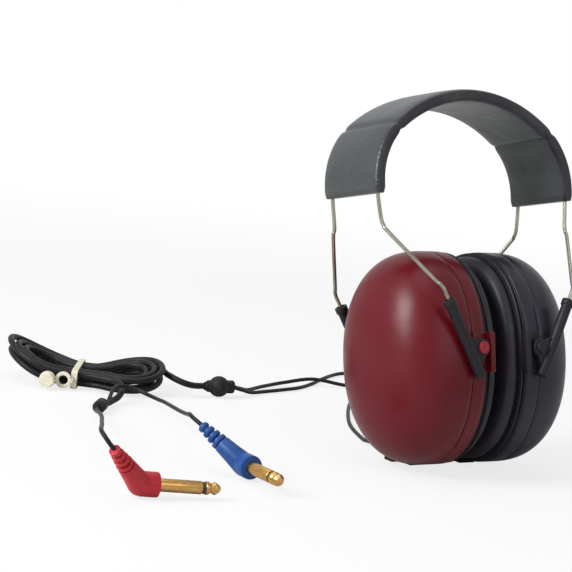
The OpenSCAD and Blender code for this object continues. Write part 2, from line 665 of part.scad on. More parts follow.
// Half the tie's inner width: the waist's outer run where the tie crosses it
tie_half = waist_half + hollow_r - sqrt(hollow_r * hollow_r - tie_x * tie_x) + twin_d / 2 + tie_slack;
module hank_tie() {
    out_w = tie_half + tie_t;
    in_h = layer_pitch / 2 + twin_d / 2 + 0.2;
    loop_r = 4.6;
    color([0.85, 0.82, 0.72]) translate([hank_middle.x, hank_middle.y, layer_z + layer_pitch / 2])
        rotate([0, 0, hank_turn]) {
            translate([tie_x - tie_w / 2, 0, 0]) rotate([90, 0, 90]) linear_extrude(tie_w) difference() {
                polygon([for (i = [0:31]) oval(out_w, in_h + tie_t, i * 360 / 32, tie_square)]);
                polygon([for (i = [0:31]) oval(tie_half, in_h, i * 360 / 32, tie_square)]);
            }
            translate([tie_x - tie_w / 2, -out_w - 3, -1.5]) cube([1.6, 3.4, 3]);
            translate([tie_x - 5.5, -out_w - 1.3, 0]) rotate([90, 0, 0]) difference() {
                cylinder(r = loop_r, h = 2, $fn = round_fn);
                translate([0, 0, -1]) cylinder(r = loop_r - 2, h = 4, $fn = round_fn);
            }
            translate([tie_x - 9.5, -out_w - 2.4, -1.4]) rotate([0, 0, 212]) cube([6, 1.4, 2.8]);
            translate([tie_x - 14, -out_w - 5.2, 0]) rotate([90, 0, 0])
                cylinder(r1 = loop_r, r2 = loop_r - 0.8, h = 5, $fn = round_fn);
        }
}

// ---- Plugs ----

// Each plug: its elbow's place, then its turns about X, Y and Z
red_elbow = [-211, -34.3, 6.4];
red_turns = [124, 1.8, -16.7];
blue_elbow = [-134.3, -10, 6.4];
blue_turns = [135, -2.9, -98.7];
elbow_bend = 50;
boot_l = 29;
stub_l = 9;
stub_r = 6;
function about_x(v, a) = [v.x, v.y * cos(a) - v.z * sin(a), v.y * sin(a) + v.z * cos(a)];
function about_y(v, a) = [v.x * cos(a) + v.z * sin(a), v.y, -v.x * sin(a) + v.z * cos(a)];
function about_z(v, a) = [v.x * cos(a) - v.y * sin(a), v.x * sin(a) + v.y * cos(a), v.z];
function turned(v, a) = about_z(about_y(about_x(v, a.x), a.y), a.z);
function boot_dir(turns) = turned([-cos(elbow_bend), sin(elbow_bend), 0], turns);
red_entry = red_elbow + boot_dir(red_turns) * boot_l;
blue_entry = blue_elbow + boot_dir(blue_turns) * boot_l;

module red_plug_lead() {
    color([0.1, 0.1, 0.11]) tube(smooth([
        split_at + split_dir * (split_half + 0.1), split_at + split_dir * (split_half + 2.6),
        [-146.6, 109.8, 4], [-163, 75.5, 11.9], [-187, 38, 17], [-211, 0, 23.2], [-228.8, -23.4, 30.3],
        [-236.4, -36, 32.4],
        red_entry + boot_dir(red_turns) * 3.4, red_entry + boot_dir(red_turns) * 0.1], 2), lead_d / 2);
}
module blue_plug_lead() {
    color([0.1, 0.1, 0.11]) tube(smooth([
        split_at - split_dir * (split_half + 0.1) + split_side * (twin_d / 2 + 0.2),
        split_at - split_dir * (split_half + 2.6) + split_side * (twin_d / 2 + 0.2),
        [-120.3, 135.2, 6.4], [-111.8, 143.8, 9.4], [-101.6, 143.1, 8], [-96.6, 134, 6], [-98.5, 120, 6.7],
        [-104.2, 107, 8.9], [-118.5, 71, 13], [-133, 42, 17.4], [-145, 25.2, 22.6],
        blue_entry + boot_dir(blue_turns) * 3.4, blue_entry + boot_dir(blue_turns) * 0.1], 2), lead_d / 2);
}

module at_plug(side) {
    translate(side == "red" ? red_elbow : blue_elbow) rotate(side == "red" ? red_turns : blue_turns) children();
}
module plug_boot(side) {
    ribs = 4;
    plain = boot_l * 0.52;
    step = (boot_l - plain) / ribs;
    color(side == "red" ? [0.75, 0.12, 0.16] : [0.1, 0.22, 0.5]) at_plug(side) {
        sphere(r = stub_r - 0.2, $fn = round_fn);
        rotate([0, 90, 0]) cylinder(r = stub_r, h = stub_l, $fn = round_fn);
        rotate([0, 90, 180 - elbow_bend]) rotate_extrude($fn = round_fn) polygon(concat(
            [[0, 0], [stub_r - 0.2, 0], [4.4, plain]],
            [for (i = [0:ribs - 1], k = [0:3]) let(r = 4.2 - 0.45 * i)
                [k == 0 || k == 3 ? r - 1.5 + 0.2 * i : r, plain + step * (i + [0.1, 0.1, 0.6, 0.6][k])]],
            [[1.9, boot_l], [0, boot_l]]));
    }
}
// Lengths of the sleeve, of the black ring and of the tip
ring_l = 1.8;
tip_l = 7.9;
sleeve_l = jack_l - ring_l - tip_l;
module plug_sleeve(side) {
    color([0.83, 0.69, 0.38]) at_plug(side) translate([stub_l + 0.02, 0, 0]) rotate([0, 90, 0])
        cylinder(d = jack_d, h = sleeve_l - 0.02, $fn = round_fn);
}
// The insulating ring sits a little below the sleeve and the tip
ring_inset = 0.35;
module plug_ring(side) {
    color([0.06, 0.06, 0.06]) at_plug(side) translate([stub_l + sleeve_l, 0, 0]) rotate([0, 90, 0])
        cylinder(d = jack_d - 2 * ring_inset, h = ring_l, $fn = round_fn);
}
module plug_tip(side) {
    r = jack_d / 2;
    color([0.83, 0.69, 0.38]) at_plug(side) translate([stub_l + sleeve_l + ring_l, 0, 0]) rotate([0, 90, 0])
        rotate_extrude($fn = round_fn) polygon([[0, 0], [r, 0], [r, 1.6], [r * 0.72, 2.7], [r * 0.72, 3.3],
            [r * 0.96, 4.6], [r * 0.96, 5.3], [r * 0.35, tip_l - 0.3], [r * 0.15, tip_l], [0, tip_l]]);
}

// ---- Parts ----

band_cover();
band_foam();
band_wire("front");  // front_band_wire
band_wire("rear");  // rear_band_wire
holder("red", "front");  // red_front_holder
holder("red", "rear");  // red_rear_holder
pin("red", "front");  // red_front_pin
pin("red", "rear");  // red_rear_pin
bracket("red", "front");  // red_front_bracket
bracket("red", "rear");  // red_rear_bracket
shell("red");  // red_shell
rim_ring("red");  // red_rim_ring
cushion_plate("red");  // red_cushion_plate
ear_cushion("red");  // red_ear_cushion
dust_disc("red");  // red_dust_disc
receiver_plate("red");  // red_receiver_plate
receiver("red");  // red_receiver
receiver_screws("red");  // red_receiver_screws
damping_foam("red");  // red_damping_foam
cable_gland("red");  // red_cable_gland
strain_relief("red");  // red_strain_relief
shell_plug("red");  // red_shell_plug
holder("blue", "front");  // blue_front_holder
holder("blue", "rear");  // blue_rear_holder
pin("blue", "front");  // blue_front_pin
pin("blue", "rear");  // blue_rear_pin
bracket("blue", "front");  // blue_front_bracket
bracket("blue", "rear");  // blue_rear_bracket
shell("blue");  // blue_shell
rim_ring("blue");  // blue_rim_ring
cushion_plate("blue");  // blue_cushion_plate
ear_cushion("blue");  // blue_ear_cushion
dust_disc("blue");  // blue_dust_disc
receiver_plate("blue");  // blue_receiver_plate
receiver("blue");  // blue_receiver
receiver_screws("blue");  // blue_receiver_screws
damping_foam("blue");  // blue_damping_foam
cable_gland("blue");  // blue_cable_gland
strain_relief("blue");  // blue_strain_relief
shell_plug("blue");  // blue_shell_plug
red_cup_lead();
blue_cup_lead();
lead_yoke();
twin_cable();
cable_hank();
tail_cable();
hank_tie();
split_sleeve();
red_plug_lead();
blue_plug_lead();
plug_boot("red");  // red_plug_boot
plug_sleeve("red");  // red_plug_sleeve
plug_ring("red");  // red_plug_ring
plug_tip("red");  // red_plug_tip
plug_boot("blue");  // blue_plug_boot
plug_sleeve("blue");  // blue_plug_sleeve
plug_ring("blue");  // blue_plug_ring
plug_tip("blue");  // blue_plug_tip
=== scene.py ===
# %% [markdown]
# # An audiometric headset, dressed piece by piece
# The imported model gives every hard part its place. This script keeps those places and gives each
# surface its finish. It makes the soft and rounded parts again as smooth meshes, because their
# solids are made of flat facets.
# The pieces' lengths are written in millimetres, and MM turns them into metres.

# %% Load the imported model
import math
import bmesh
import bpy
from mathutils import Matrix, Quaternion, Vector
from mathutils.noise import noise as smooth_noise


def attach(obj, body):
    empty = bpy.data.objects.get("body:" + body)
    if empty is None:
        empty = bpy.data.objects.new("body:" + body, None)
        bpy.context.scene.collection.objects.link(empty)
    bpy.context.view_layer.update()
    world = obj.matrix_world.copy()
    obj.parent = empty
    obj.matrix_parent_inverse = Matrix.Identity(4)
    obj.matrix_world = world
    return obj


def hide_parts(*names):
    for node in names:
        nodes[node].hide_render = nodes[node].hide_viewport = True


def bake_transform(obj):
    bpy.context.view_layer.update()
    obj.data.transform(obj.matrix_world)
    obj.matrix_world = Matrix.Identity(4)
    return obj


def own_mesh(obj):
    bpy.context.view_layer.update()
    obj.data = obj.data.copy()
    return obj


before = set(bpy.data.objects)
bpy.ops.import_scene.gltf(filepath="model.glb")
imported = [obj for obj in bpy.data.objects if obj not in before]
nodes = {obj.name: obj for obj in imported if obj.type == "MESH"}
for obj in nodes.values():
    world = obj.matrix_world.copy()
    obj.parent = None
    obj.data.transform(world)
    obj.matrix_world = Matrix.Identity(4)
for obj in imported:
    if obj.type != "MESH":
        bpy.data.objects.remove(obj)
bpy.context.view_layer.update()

# %% [markdown]
# ## Camera
# The photograph looks down at the headset a little from its front left, with a long lens. The place
# and the turn come from fitting known sizes to the picture: the plugs, the two pivots of each cup
# and the band. The camera is also rolled by seven degrees, so the table slopes in the picture.
# A camera looks along its own -Z, so a track quaternion aims it, and the roll follows.

# %% Aim the camera
MM = 0.001
look_azimuth, look_down, roll = math.radians(37.44), math.radians(8.54), math.radians(7.21)
look = Vector((math.sin(look_azimuth) * math.cos(look_down),
               math.cos(look_azimuth) * math.cos(look_down), -math.sin(look_down)))
camera = bpy.data.objects.new("camera", bpy.data.cameras.new("camera"))
bpy.context.scene.collection.objects.link(camera)
camera.location = Vector((-792.8, -886.1, 261.5)) * MM
camera.rotation_mode = "QUATERNION"
camera.rotation_quaternion = look.to_track_quat("-Z", "Y") @ Quaternion((0, 0, 1), roll)
camera.data.lens = 143.5
camera.data.sensor_width = 36
camera.data.clip_start, camera.data.clip_end = 0.05, 200
bpy.context.scene.camera = camera
print("lens", camera.data.lens, "mm, distance", round(camera.location.length, 3), "m")

# %% [markdown]
# ## Shader arithmetic
# A procedural pattern is a chain of small maths nodes. Written out node by node it hides the idea,
# so this class lets Python's own operators make the nodes: `a * 2 + b` adds a multiply and an add.

# %% A number that varies over a surface
class Field:
    def __init__(self, tree, socket):
        self.tree, self.socket = tree, socket

    def math(self, operation, *others):
        node = self.tree.nodes.new("ShaderNodeMath")
        node.operation = operation
        for slot, value in zip(node.inputs, [self, *others]):
            if isinstance(value, Field):
                self.tree.links.new(value.socket, slot)
            else:
                slot.default_value = value
        return Field(self.tree, node.outputs[0])

    def __add__(self, other): return self.math("ADD", other)
    def __mul__(self, other): return self.math("MULTIPLY", other)
    def most(self, other): return self.math("MAXIMUM", other)

    def step(self, low, high):
        node = self.tree.nodes.new("ShaderNodeMapRange")
        node.interpolation_type = "SMOOTHSTEP"
        self.tree.links.new(self.socket, node.inputs["Value"])
        node.inputs["From Min"].default_value = low
        node.inputs["From Max"].default_value = high
        return Field(self.tree, node.outputs["Result"])


# %% [markdown]
# ## Finishes
# Each finish is one Principled shader. Numbers that are the same all over are set on the shader
# itself. Only what varies over the surface, such as a speckle or the painted shade at the sheath's
# edges, comes in through nodes. Patterns read Object coordinates, which here are metres, so a scale
# of 1000 repeats once a millimetre.

# %% A finish and the patterns that vary it
class Finish:
    def __init__(self, name, colour, roughness, metallic=0.0, **constants):
        self.material = bpy.data.materials.new(name)
        self.material.use_nodes = True
        self.tree = self.material.node_tree
        self.shader = self.tree.nodes["Principled BSDF"]
        self.colour, self.roughness = colour, roughness
        self.shader.inputs["Base Color"].default_value = (*colour, 1)
        self.shader.inputs["Roughness"].default_value = roughness
        self.shader.inputs["Metallic"].default_value = metallic
        for socket, value in constants.items():
            self.shader.inputs[socket.replace("_", " ")].default_value = value
        self.material.diffuse_color = (*colour, 1)
        place = self.tree.nodes.new("ShaderNodeTexCoord")
        self.place = place.outputs["Object"]
        self.height = None

    def attribute(self, name):
        node = self.tree.nodes.new("ShaderNodeAttribute")
        node.attribute_name = name
        return Field(self.tree, node.outputs["Fac"])

    def stretched(self, scale, turn=(0, 0, 0)):
        node = self.tree.nodes.new("ShaderNodeMapping")
        node.inputs["Scale"].default_value = scale
        node.inputs["Rotation"].default_value = [math.radians(a) for a in turn]
        self.tree.links.new(self.place, node.inputs["Vector"])
        return node.outputs[0]

    def speckle(self, scale, detail=3.0, rough=0.55, where=None):
        node = self.tree.nodes.new("ShaderNodeTexNoise")
        node.inputs["Scale"].default_value = scale
        node.inputs["Detail"].default_value = detail
        node.inputs["Roughness"].default_value = rough
        self.tree.links.new(where or self.place, node.inputs["Vector"])
        return Field(self.tree, node.outputs["Fac"])

    def grain(self, scale, feature="F1"):
        node = self.tree.nodes.new("ShaderNodeTexVoronoi")
        node.feature = feature
        node.inputs["Scale"].default_value = scale
        self.tree.links.new(self.place, node.inputs["Vector"])
        return Field(self.tree, node.outputs["Distance"])

    def tint(self, amount, other):
        """Blend the base colour towards another, as far as the field says."""
        mix = self.tree.nodes.new("ShaderNodeMix")
        mix.data_type = "RGBA"
        mix.inputs[6].default_value = (*self.colour, 1)
        base = self.shader.inputs["Base Color"]
        if base.is_linked:
            self.tree.links.new(base.links[0].from_socket, mix.inputs[6])
        mix.inputs[7].default_value = (*other, 1)
        self.tree.links.new(amount.socket, mix.inputs[0])
        self.tree.links.new(mix.outputs[2], base)
        return self

    def vary_roughness(self, field):
        self.tree.links.new(field.socket, self.shader.inputs["Roughness"])
        return self

    def raise_by(self, field, depth):
        """Bump the surface: the field times a depth in metres."""
        node = self.tree.nodes.new("ShaderNodeBump")
        node.inputs["Distance"].default_value = depth
        self.tree.links.new(field.socket, node.inputs["Height"])
        if self.height is not None:
            self.tree.links.new(self.height.outputs[0], node.inputs["Normal"])
        self.tree.links.new(node.outputs[0], self.shader.inputs["Normal"])
        self.height = node
        return self


# %% [markdown]
# ## Floor, background and light
# The photograph is a product picture on white. A pale floor keeps the soft shadow. For camera rays
# the floor and the world turn white, so the background is even without flooding the part with light.
# The white takes over with distance, and near the object the floor keeps its shadow. Reflections see
# the white world too, while the light that the world really gives is much weaker.
# Large area lamps give the long soft reflections that show on the glossy shells.

# %% A pale floor that the camera sees as white
def studio_floor():
    below, near_white = 0.0004, 0.78
    mesh = bpy.data.meshes.new("floor")
    bm = bmesh.new()
    bmesh.ops.create_grid(bm, x_segments=1, y_segments=1, size=60)
    bm.to_mesh(mesh)
    bm.free()
    floor = bpy.data.objects.new("floor", mesh)
    bpy.context.scene.collection.objects.link(floor)
    floor.data.transform(Matrix.Translation((0, 0, -below)))
    material = bpy.data.materials.new("studio_white")
    material.use_nodes = True
    tree = material.node_tree
    tree.nodes.clear()
    out = tree.nodes.new("ShaderNodeOutputMaterial")
    mix = tree.nodes.new("ShaderNodeMixShader")
    matte = tree.nodes.new("ShaderNodeBsdfDiffuse")
    matte.inputs["Color"].default_value = (0.80, 0.80, 0.80, 1)
    glow = tree.nodes.new("ShaderNodeEmission")
    glow.inputs["Strength"].default_value = 1.0
    rays = tree.nodes.new("ShaderNodeLightPath")
    camera_ray = Field(tree, rays.outputs["Is Camera Ray"])
    middle = tree.nodes.new("ShaderNodeVectorMath")
    middle.operation = "LENGTH"
    place = tree.nodes.new("ShaderNodeTexCoord")
    tree.links.new(place.outputs["Object"], middle.inputs[0])
    far = Field(tree, middle.outputs["Value"]).step(0.45, 1.1)
    share = camera_ray * (far * (1 - near_white) + near_white)
    tree.links.new(share.socket, mix.inputs[0])
    tree.links.new(matte.outputs[0], mix.inputs[1])
    tree.links.new(glow.outputs[0], mix.inputs[2])
    tree.links.new(mix.outputs[0], out.inputs[0])
    mesh.materials.append(material)


studio_floor()

# %% White world and soft lamps
def studio_world():
    world = bpy.data.worlds.new("studio")
    bpy.context.scene.world = world
    world.use_nodes = True
    tree = world.node_tree
    tree.nodes.clear()
    out = tree.nodes.new("ShaderNodeOutputWorld")
    mix = tree.nodes.new("ShaderNodeMixShader")
    soft = tree.nodes.new("ShaderNodeBackground")
    soft.inputs["Color"].default_value = (1, 1, 1, 1)
    soft.inputs["Strength"].default_value = 0.26
    seen = tree.nodes.new("ShaderNodeBackground")
    seen.inputs["Strength"].default_value = 1.0
    rays = tree.nodes.new("ShaderNodeLightPath")
    white = Field(tree, rays.outputs["Is Camera Ray"])
    for ray in ("Is Transmission Ray", "Is Glossy Ray"):
        white = white.most(Field(tree, rays.outputs[ray]))
    tree.links.new(white.socket, mix.inputs[0])
    tree.links.new(soft.outputs[0], mix.inputs[1])
    tree.links.new(seen.outputs[0], mix.inputs[2])
    tree.links.new(mix.outputs[0], out.inputs[0])


def soft_lamp(name, place, aim, size, power):
    data = bpy.data.lights.new(name, "AREA")
    data.shape = "RECTANGLE"
    data.size, data.size_y = size
    data.energy = power
    lamp = bpy.data.objects.new(name, data)
    bpy.context.scene.collection.objects.link(lamp)
    lamp.location = place
    lamp.rotation_mode = "QUATERNION"
    lamp.rotation_quaternion = (Vector(aim) - Vector(place)).to_track_quat("-Z", "Y")


studio_world()
soft_lamp("lamp_left", (-1.45, 0.10, 0.85), (0, 0, 0.08), (0.6, 0.8), 27)
soft_lamp("lamp_front", (0.15, -1.5, 0.9), (0, 0, 0.08), (1.2, 0.8), 4)
soft_lamp("lamp_top", (-0.2, 0.3, 1.5), (0, 0, 0.05), (1.6, 1.2), 8)
bpy.context.scene.view_settings.view_transform = "Standard"
print("view transform:", bpy.context.scene.view_settings.view_transform)

# %% [markdown]
# ## Cords
# Every free cord is one smooth line through a few listed points, with a round section. The line
# between points is a Catmull-Rom curve: it passes through each point and needs no handles. Where a
# cord turns, the points are set close and even, because one short span between long ones kinks it.

# %% A smooth line through points
def smooth_line(points, steps):
    points = [Vector(p) for p in points]
    line = []
    for i in range(len(points) - 1):
        a, b = points[max(i - 1, 0)], points[i]
        c, d = points[i + 1], points[min(i + 2, len(points) - 1)]
        for k in range(steps):
            t = k / steps
            line.append(0.5 * (2 * b + (c - a) * t + (2 * a - 5 * b + 4 * c - d) * t * t
                               + (3 * b - a - 3 * c + d) * t ** 3))
    return line + [points[-1]]


def line_length(line):
    return sum((b - a).length for a, b in zip(line, line[1:]))


# %% A round cord along a line
def round_cord(name, line, diameter, finish, body, as_mesh=False):
    """The line is in millimetres. With as_mesh the cord is made a mesh at once and is not attached to its body.
    """
    curve = bpy.data.curves.new(name, "CURVE")
    curve.dimensions = "3D"
    curve.bevel_depth = diameter / 2 * MM
    curve.bevel_resolution = 4
    curve.use_fill_caps = True
    spline = curve.splines.new("POLY")
    spline.points.add(len(line) - 1)
    for point, place in zip(spline.points, line):
        point.co = (*(place * MM), 1)
    cord = bpy.data.objects.new(name, curve)
    bpy.context.scene.collection.objects.link(cord)
    curve.materials.append(finish.material)
    spline.use_smooth = True
    if as_mesh:
        depsgraph = bpy.context.evaluated_depsgraph_get()
        tube = bpy.data.meshes.new_from_object(cord.evaluated_get(depsgraph))
        bpy.data.objects.remove(cord)
        cord = bpy.data.objects.new(name, tube)
        bpy.context.scene.collection.objects.link(cord)
    else:
        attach(cord, body)
    print(name, "is", round(line_length(line), 1), "mm long")
    return cord


# %% [markdown]
# The jacket of the cords is smooth black rubber with a faint satin shine and slight dust.

# %% Black jacket
cord_jacket = Finish("cord_jacket", (0.011, 0.011, 0.013), 0.42, Specular_IOR_Level=0.16)
cord_jacket.tint(cord_jacket.speckle(900, 4).step(0.45, 0.85) * 0.5, (0.024, 0.024, 0.026))
cord_jacket.vary_roughness(cord_jacket.speckle(160, 3) * 0.25 + 0.30)
cord_jacket.raise_by(cord_jacket.speckle(1400, 2), 0.00005)

# %% [markdown]
# The two cup leads leave their strain reliefs behind the cups, run back along the table and meet at
# the yoke, one passing over the other on the way.

# %% Cup leads
gland_x, cup_exit, relief_z = 18.5, 29.73, 3.1
lead_d, twin_d = 2.2, 3.6
lead_z = lead_d / 2 + 0.05
yoke_at, yoke_half = Vector((-37, 152, 6.05)), 9
yoke_dir = Vector((-9, 2, 0)).normalized()
yoke_side = Vector((yoke_dir.y, -yoke_dir.x, 0))
lead_apart = lead_d / 2 + 0.2
red_lead_line = smooth_line([
    (-gland_x, cup_exit, relief_z), (-18, 37, 2.6), (-13, 48, lead_z), (2, 78, lead_z),
    (31, 116, lead_z), (56, 141, lead_z), (76, 153, lead_z), (76, 162, lead_z), (65, 167, 1.9),
    (48, 174, 4), (29, 176, 1.9), (8, 170, lead_z), (-10, 160, 1.8), (-20, 154.5, 4),
    yoke_at - yoke_dir * (yoke_half + 0.1) + yoke_side * lead_apart], 8)
blue_lead_line = smooth_line([
    (gland_x, cup_exit, relief_z), (20, 38, 2.4), (35, 60, lead_z), (70, 110, lead_z),
    (97, 150, lead_z), (106, 180, lead_z), (102, 196, lead_z), (89, 199, lead_z), (68, 188, lead_z),
    (48, 174, lead_z), (32, 165, lead_z), (18, 161, lead_z), (2, 157.5, lead_z), (-12, 153, 1.8),
    (-21, 150.5, 4),
    yoke_at - yoke_dir * (yoke_half + 0.1) - yoke_side * lead_apart], 8)
red_cup_cord = round_cord("red_cup_cord", red_lead_line, lead_d, cord_jacket, "headband", as_mesh=True)
blue_cup_cord = round_cord("blue_cup_cord", blue_lead_line, lead_d, cord_jacket, "headband", as_mesh=True)

# %% [markdown]
# The hank is one cable wound round and round a bone-shaped path. Each turn lies one pitch inside the
# last; halfway along, the cable climbs on top and winds back out. A formula gives every turn, so
# neighbours keep an even gap and no loop passes through another.

# %% The bone-shaped turn
hank_middle, hank_turn, hank_half, hank_pitch = (-104, 188), math.radians(-38), 46, 4.4
hank_start = 0.233
hank_loops = 6
hank_turns = hank_loops - hank_start
waist_half = hank_pitch * hank_turns / 2 + twin_d / 2 + 1.5
lobe_r = hank_half / 2
lobe_at = hank_half - lobe_r
hollow_r = (lobe_at ** 2 + waist_half ** 2 - lobe_r ** 2) / (2 * (lobe_r - waist_half))
lobe_end = math.atan2(waist_half + hollow_r, -lobe_at)
layer_pitch, layer_z, lobe_share = twin_d * 1.5, twin_d / 2 + 1.1, 0.8


def half_turn(v, inset):
    if v < lobe_share:
        a = lobe_end * (2 * v / lobe_share - 1)
        return Vector((lobe_at + (lobe_r - inset) * math.cos(a), (lobe_r - inset) * math.sin(a)))
    a = lobe_end - math.pi + (math.pi - 2 * lobe_end) * (v - lobe_share) / (1 - lobe_share)
    r = hollow_r + inset
    return Vector((r * math.cos(a), waist_half + hollow_r + r * math.sin(a)))


def turn_point(u, inset):
    v = (u - math.floor(u)) * 2
    return half_turn(v, inset) if v < 1 else -half_turn(v - 1, inset)


# %% Where each loop lies
def hank_place(p, z):
    lift = 0.008 * max(0, -p.x - 4) ** 2 + 0.006 * max(0, p.x - 4) * max(0, p.y + lobe_r)
    c, s = math.cos(hank_turn), math.sin(hank_turn)
    return Vector((hank_middle[0] + p.x * c - p.y * s, hank_middle[1] + p.x * s + p.y * c,
                   layer_z + z + lift))


def hank_point(t):
    rise = min(1, max(0, (t - hank_turns / 2 + 0.25) * 2)) * layer_pitch
    return hank_place(turn_point(hank_start + t, hank_pitch * min(t, hank_turns - t)), rise)


hank_steps = math.ceil(72 * hank_turns)
hank_curve = [hank_point(hank_turns * i / hank_steps) for i in range(hank_steps + 1)]
coarse = math.ceil(24 * hank_turns)
hank_in = (hank_point(hank_turns / coarse) - hank_curve[0]).normalized()
hank_out = (hank_curve[-1] - hank_point(hank_turns - hank_turns / coarse)).normalized()
hank_first = hank_curve[0] - hank_in * twin_d
hank_last = hank_curve[-1] + hank_out * twin_d

# %% [markdown]
# A short twin cable joins the yoke to the hank, and a tail leaves it for the sleeve where the cable
# splits into the two plug leads.

# %% Cable before and after the hank
twin_line = smooth_line([
    yoke_at + yoke_dir * (yoke_half + 0.1), (-51, 154, 6.2), (-56, 152.9, 7), (-60.6, 153.9, 8.2),
    (-63.5, 157.3, 9.4), hank_first - hank_in * 2.4, hank_first - hank_in * 0.1], 8)
split_at, split_half = Vector((-134, 124, 3.6)), 5
split_dir = Vector((-14, -15, 0)).normalized()
split_side = Vector((-split_dir.y, split_dir.x, 0))
tail_line = smooth_line([
    hank_last + hank_out * 0.1, hank_last + hank_out * 4.5, (-102.7, 155, 7.9), (-103.8, 150.4, 6.7),
    (-106.8, 146.4, 5.1), (-111.3, 142.4, 3.4), (-117, 139, 2.4), (-123.1, 134.8, 2.2),
    split_at - split_dir * (split_half + 4.6) - split_side * lead_apart,
    split_at - split_dir * (split_half + 0.1) - split_side * lead_apart], 8)
cable_line = [*twin_line[:-1], hank_first, *hank_curve, hank_last, *tail_line[1:]]
cable = round_cord("twin_cable_and_hank", cable_line, twin_d, cord_jacket, "headband")

# %% [markdown]
# Each plug is a short rod with its boot bent away from it. Its place is its elbow, and its turns are
# about X, then Y, then Z, as in the part's source.

# %% Plug leads
boot_l, stub_l, stub_r, elbow_bend = 29, 9, 6, math.radians(50)
plug_places = {
    "red": (Vector((-211, -34.3, 6.4)), (124, 1.8, -16.7)),
    "blue": (Vector((-134.3, -10, 6.4)), (135, -2.9, -98.7)),
}


def plug_turn(side):
    x, y, z = (math.radians(a) for a in plug_places[side][1])
    return Matrix.Rotation(z, 4, "Z") @ Matrix.Rotation(y, 4, "Y") @ Matrix.Rotation(x, 4, "X")


boot_dirs = {s: plug_turn(s) @ Vector((-math.cos(elbow_bend), math.sin(elbow_bend), 0)) for s in plug_places}
entries = {s: plug_places[s][0] + boot_dirs[s] * boot_l for s in plug_places}
red_plug_line = smooth_line([
    split_at + split_dir * (split_half + 0.1), (-140.9, 116.4, 3.8), (-146.8, 107.6, 5),
    (-157, 89, 8.8), (-172, 63.5, 13.4), (-190, 35.5, 18.8), (-208, 7.5, 24.3), (-221, -12.3, 28.4),
    (-228, -22.8, 30.6), (-232.4, -29.6, 32), (-235.1, -34, 32.4), (-236.2, -37.4, 31.8),
    (-235.3, -40.6, 29.2), entries["red"] + boot_dirs["red"] * 1,
    entries["red"] - boot_dirs["red"] * 3.5, entries["red"] - boot_dirs["red"] * 8.5,
    entries["red"] - boot_dirs["red"] * 14], 8)
blue_plug_line = smooth_line([
    split_at - split_dir * (split_half + 0.1) + split_side * (twin_d / 2 + 0.2), (-125.7, 130, 4.2),
    (-121.3, 134.8, 6.2), (-116.8, 139.9, 8.2), (-111.5, 143.7, 9.4), (-105, 144.6, 8.9),
    (-99.8, 141.2, 7.6), (-96.9, 134, 6.4), (-98, 122, 6.6), (-104.2, 107, 8.9), (-118.5, 71, 13),
    (-133, 42, 18.5), (-142, 30, 22.2), (-147, 22.5, 24), (-148.6, 17, 23.6),
    entries["blue"] + boot_dirs["blue"] * 1, entries["blue"] - boot_dirs["blue"] * 3.5,
    entries["blue"] - boot_dirs["blue"] * 8.5, entries["blue"] - boot_dirs["blue"] * 14], 8)
red_plug_cord = round_cord("red_plug_cord", red_plug_line, lead_d, cord_jacket, "headband")
blue_plug_cord = round_cord("blue_plug_cord", blue_plug_line, lead_d, cord_jacket, "headband")

# %% [markdown]
# ## Meshes from loops
# Most of this object is lofted: a rounded outline that changes size as it moves. `create_circle`
# gives a loop of the right number of points, the points are set on the outline, and `bridge_loops`
# makes the skin between one loop and the next.

# %% Loops and lofts
lean, pivot_y, pivot_z = math.radians(14), -2.5725, 61.4293
to_metres = Matrix.Scale(MM, 4)
stand = Matrix.Translation((0, pivot_y * MM, pivot_z * MM)) @ Matrix.Rotation(-lean, 4, "X") @ to_metres


def oval(w, h, angle, n):
    c, s = math.cos(angle), math.sin(angle)
    return w * math.copysign(abs(c) ** (2 / n), c), h * math.copysign(abs(s) ** (2 / n), s)


def oval_points(w, h, n, count):
    return [oval(w, h, 2 * math.pi * i / count, n) for i in range(count)]


def loop(bm, places):
    """A closed loop of edges through these places."""
    vertex = bmesh.ops.create_circle(bm, segments=len(places), radius=1)["verts"][0]
    edge, edges = vertex.link_edges[0], []
    for place in places:
        vertex.co = place
        edges.append(edge)
        vertex = edge.other_vert(vertex)
        edge = next(e for e in vertex.link_edges if e != edge)
    return edges


def loft(bm, rows, closed=False, caps=False):
    loops = [loop(bm, places) for places in rows]
    pairs = list(zip(loops, loops[1:])) + ([(loops[-1], loops[0])] if closed else [])
    for a, b in pairs:
        bmesh.ops.bridge_loops(bm, edges=a + b)
    if caps:
        for end in (loops[0], loops[-1]):
            bmesh.ops.contextual_create(bm, geom=end)
    return loops


def piece(name, bm, finish, body, place=None, side=None, smooth=40, replaces=()):
    """Turn a bmesh into a finished object: merged, faced outwards, in place, and riding on its body."""
    bmesh.ops.remove_doubles(bm, verts=bm.verts, dist=1e-5)
    if place is not None:
        bmesh.ops.transform(bm, matrix=place, verts=bm.verts)
    if side == "red":
        bmesh.ops.scale(bm, vec=(-1, 1, 1), verts=bm.verts)
    bmesh.ops.recalc_face_normals(bm, faces=bm.faces)
    mesh = bpy.data.meshes.new(name)
    for face in bm.faces:
        face.smooth = True
    for edge in bm.edges:
        edge.smooth = len(edge.link_faces) != 2 or edge.calc_face_angle(0) < math.radians(smooth)
    bm.to_mesh(mesh)
    bm.free()
    made = bpy.data.objects.new(name, mesh)
    bpy.context.scene.collection.objects.link(made)
    mesh.materials.append(finish.material)
    if replaces:
        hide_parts(*replaces)
    if body:
        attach(made, body)
    print(name, len(mesh.polygons), "faces")
    return made


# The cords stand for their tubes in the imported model
for cord, stands_for in ((red_cup_cord, ["red_cup_lead"]), (blue_cup_cord, ["blue_cup_lead"]),
                         (cable, ["twin_cable", "cable_hank", "tail_cable"]),
                         (red_plug_cord, ["red_plug_lead"]), (blue_plug_cord, ["blue_plug_lead"])):
    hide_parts(*stands_for)

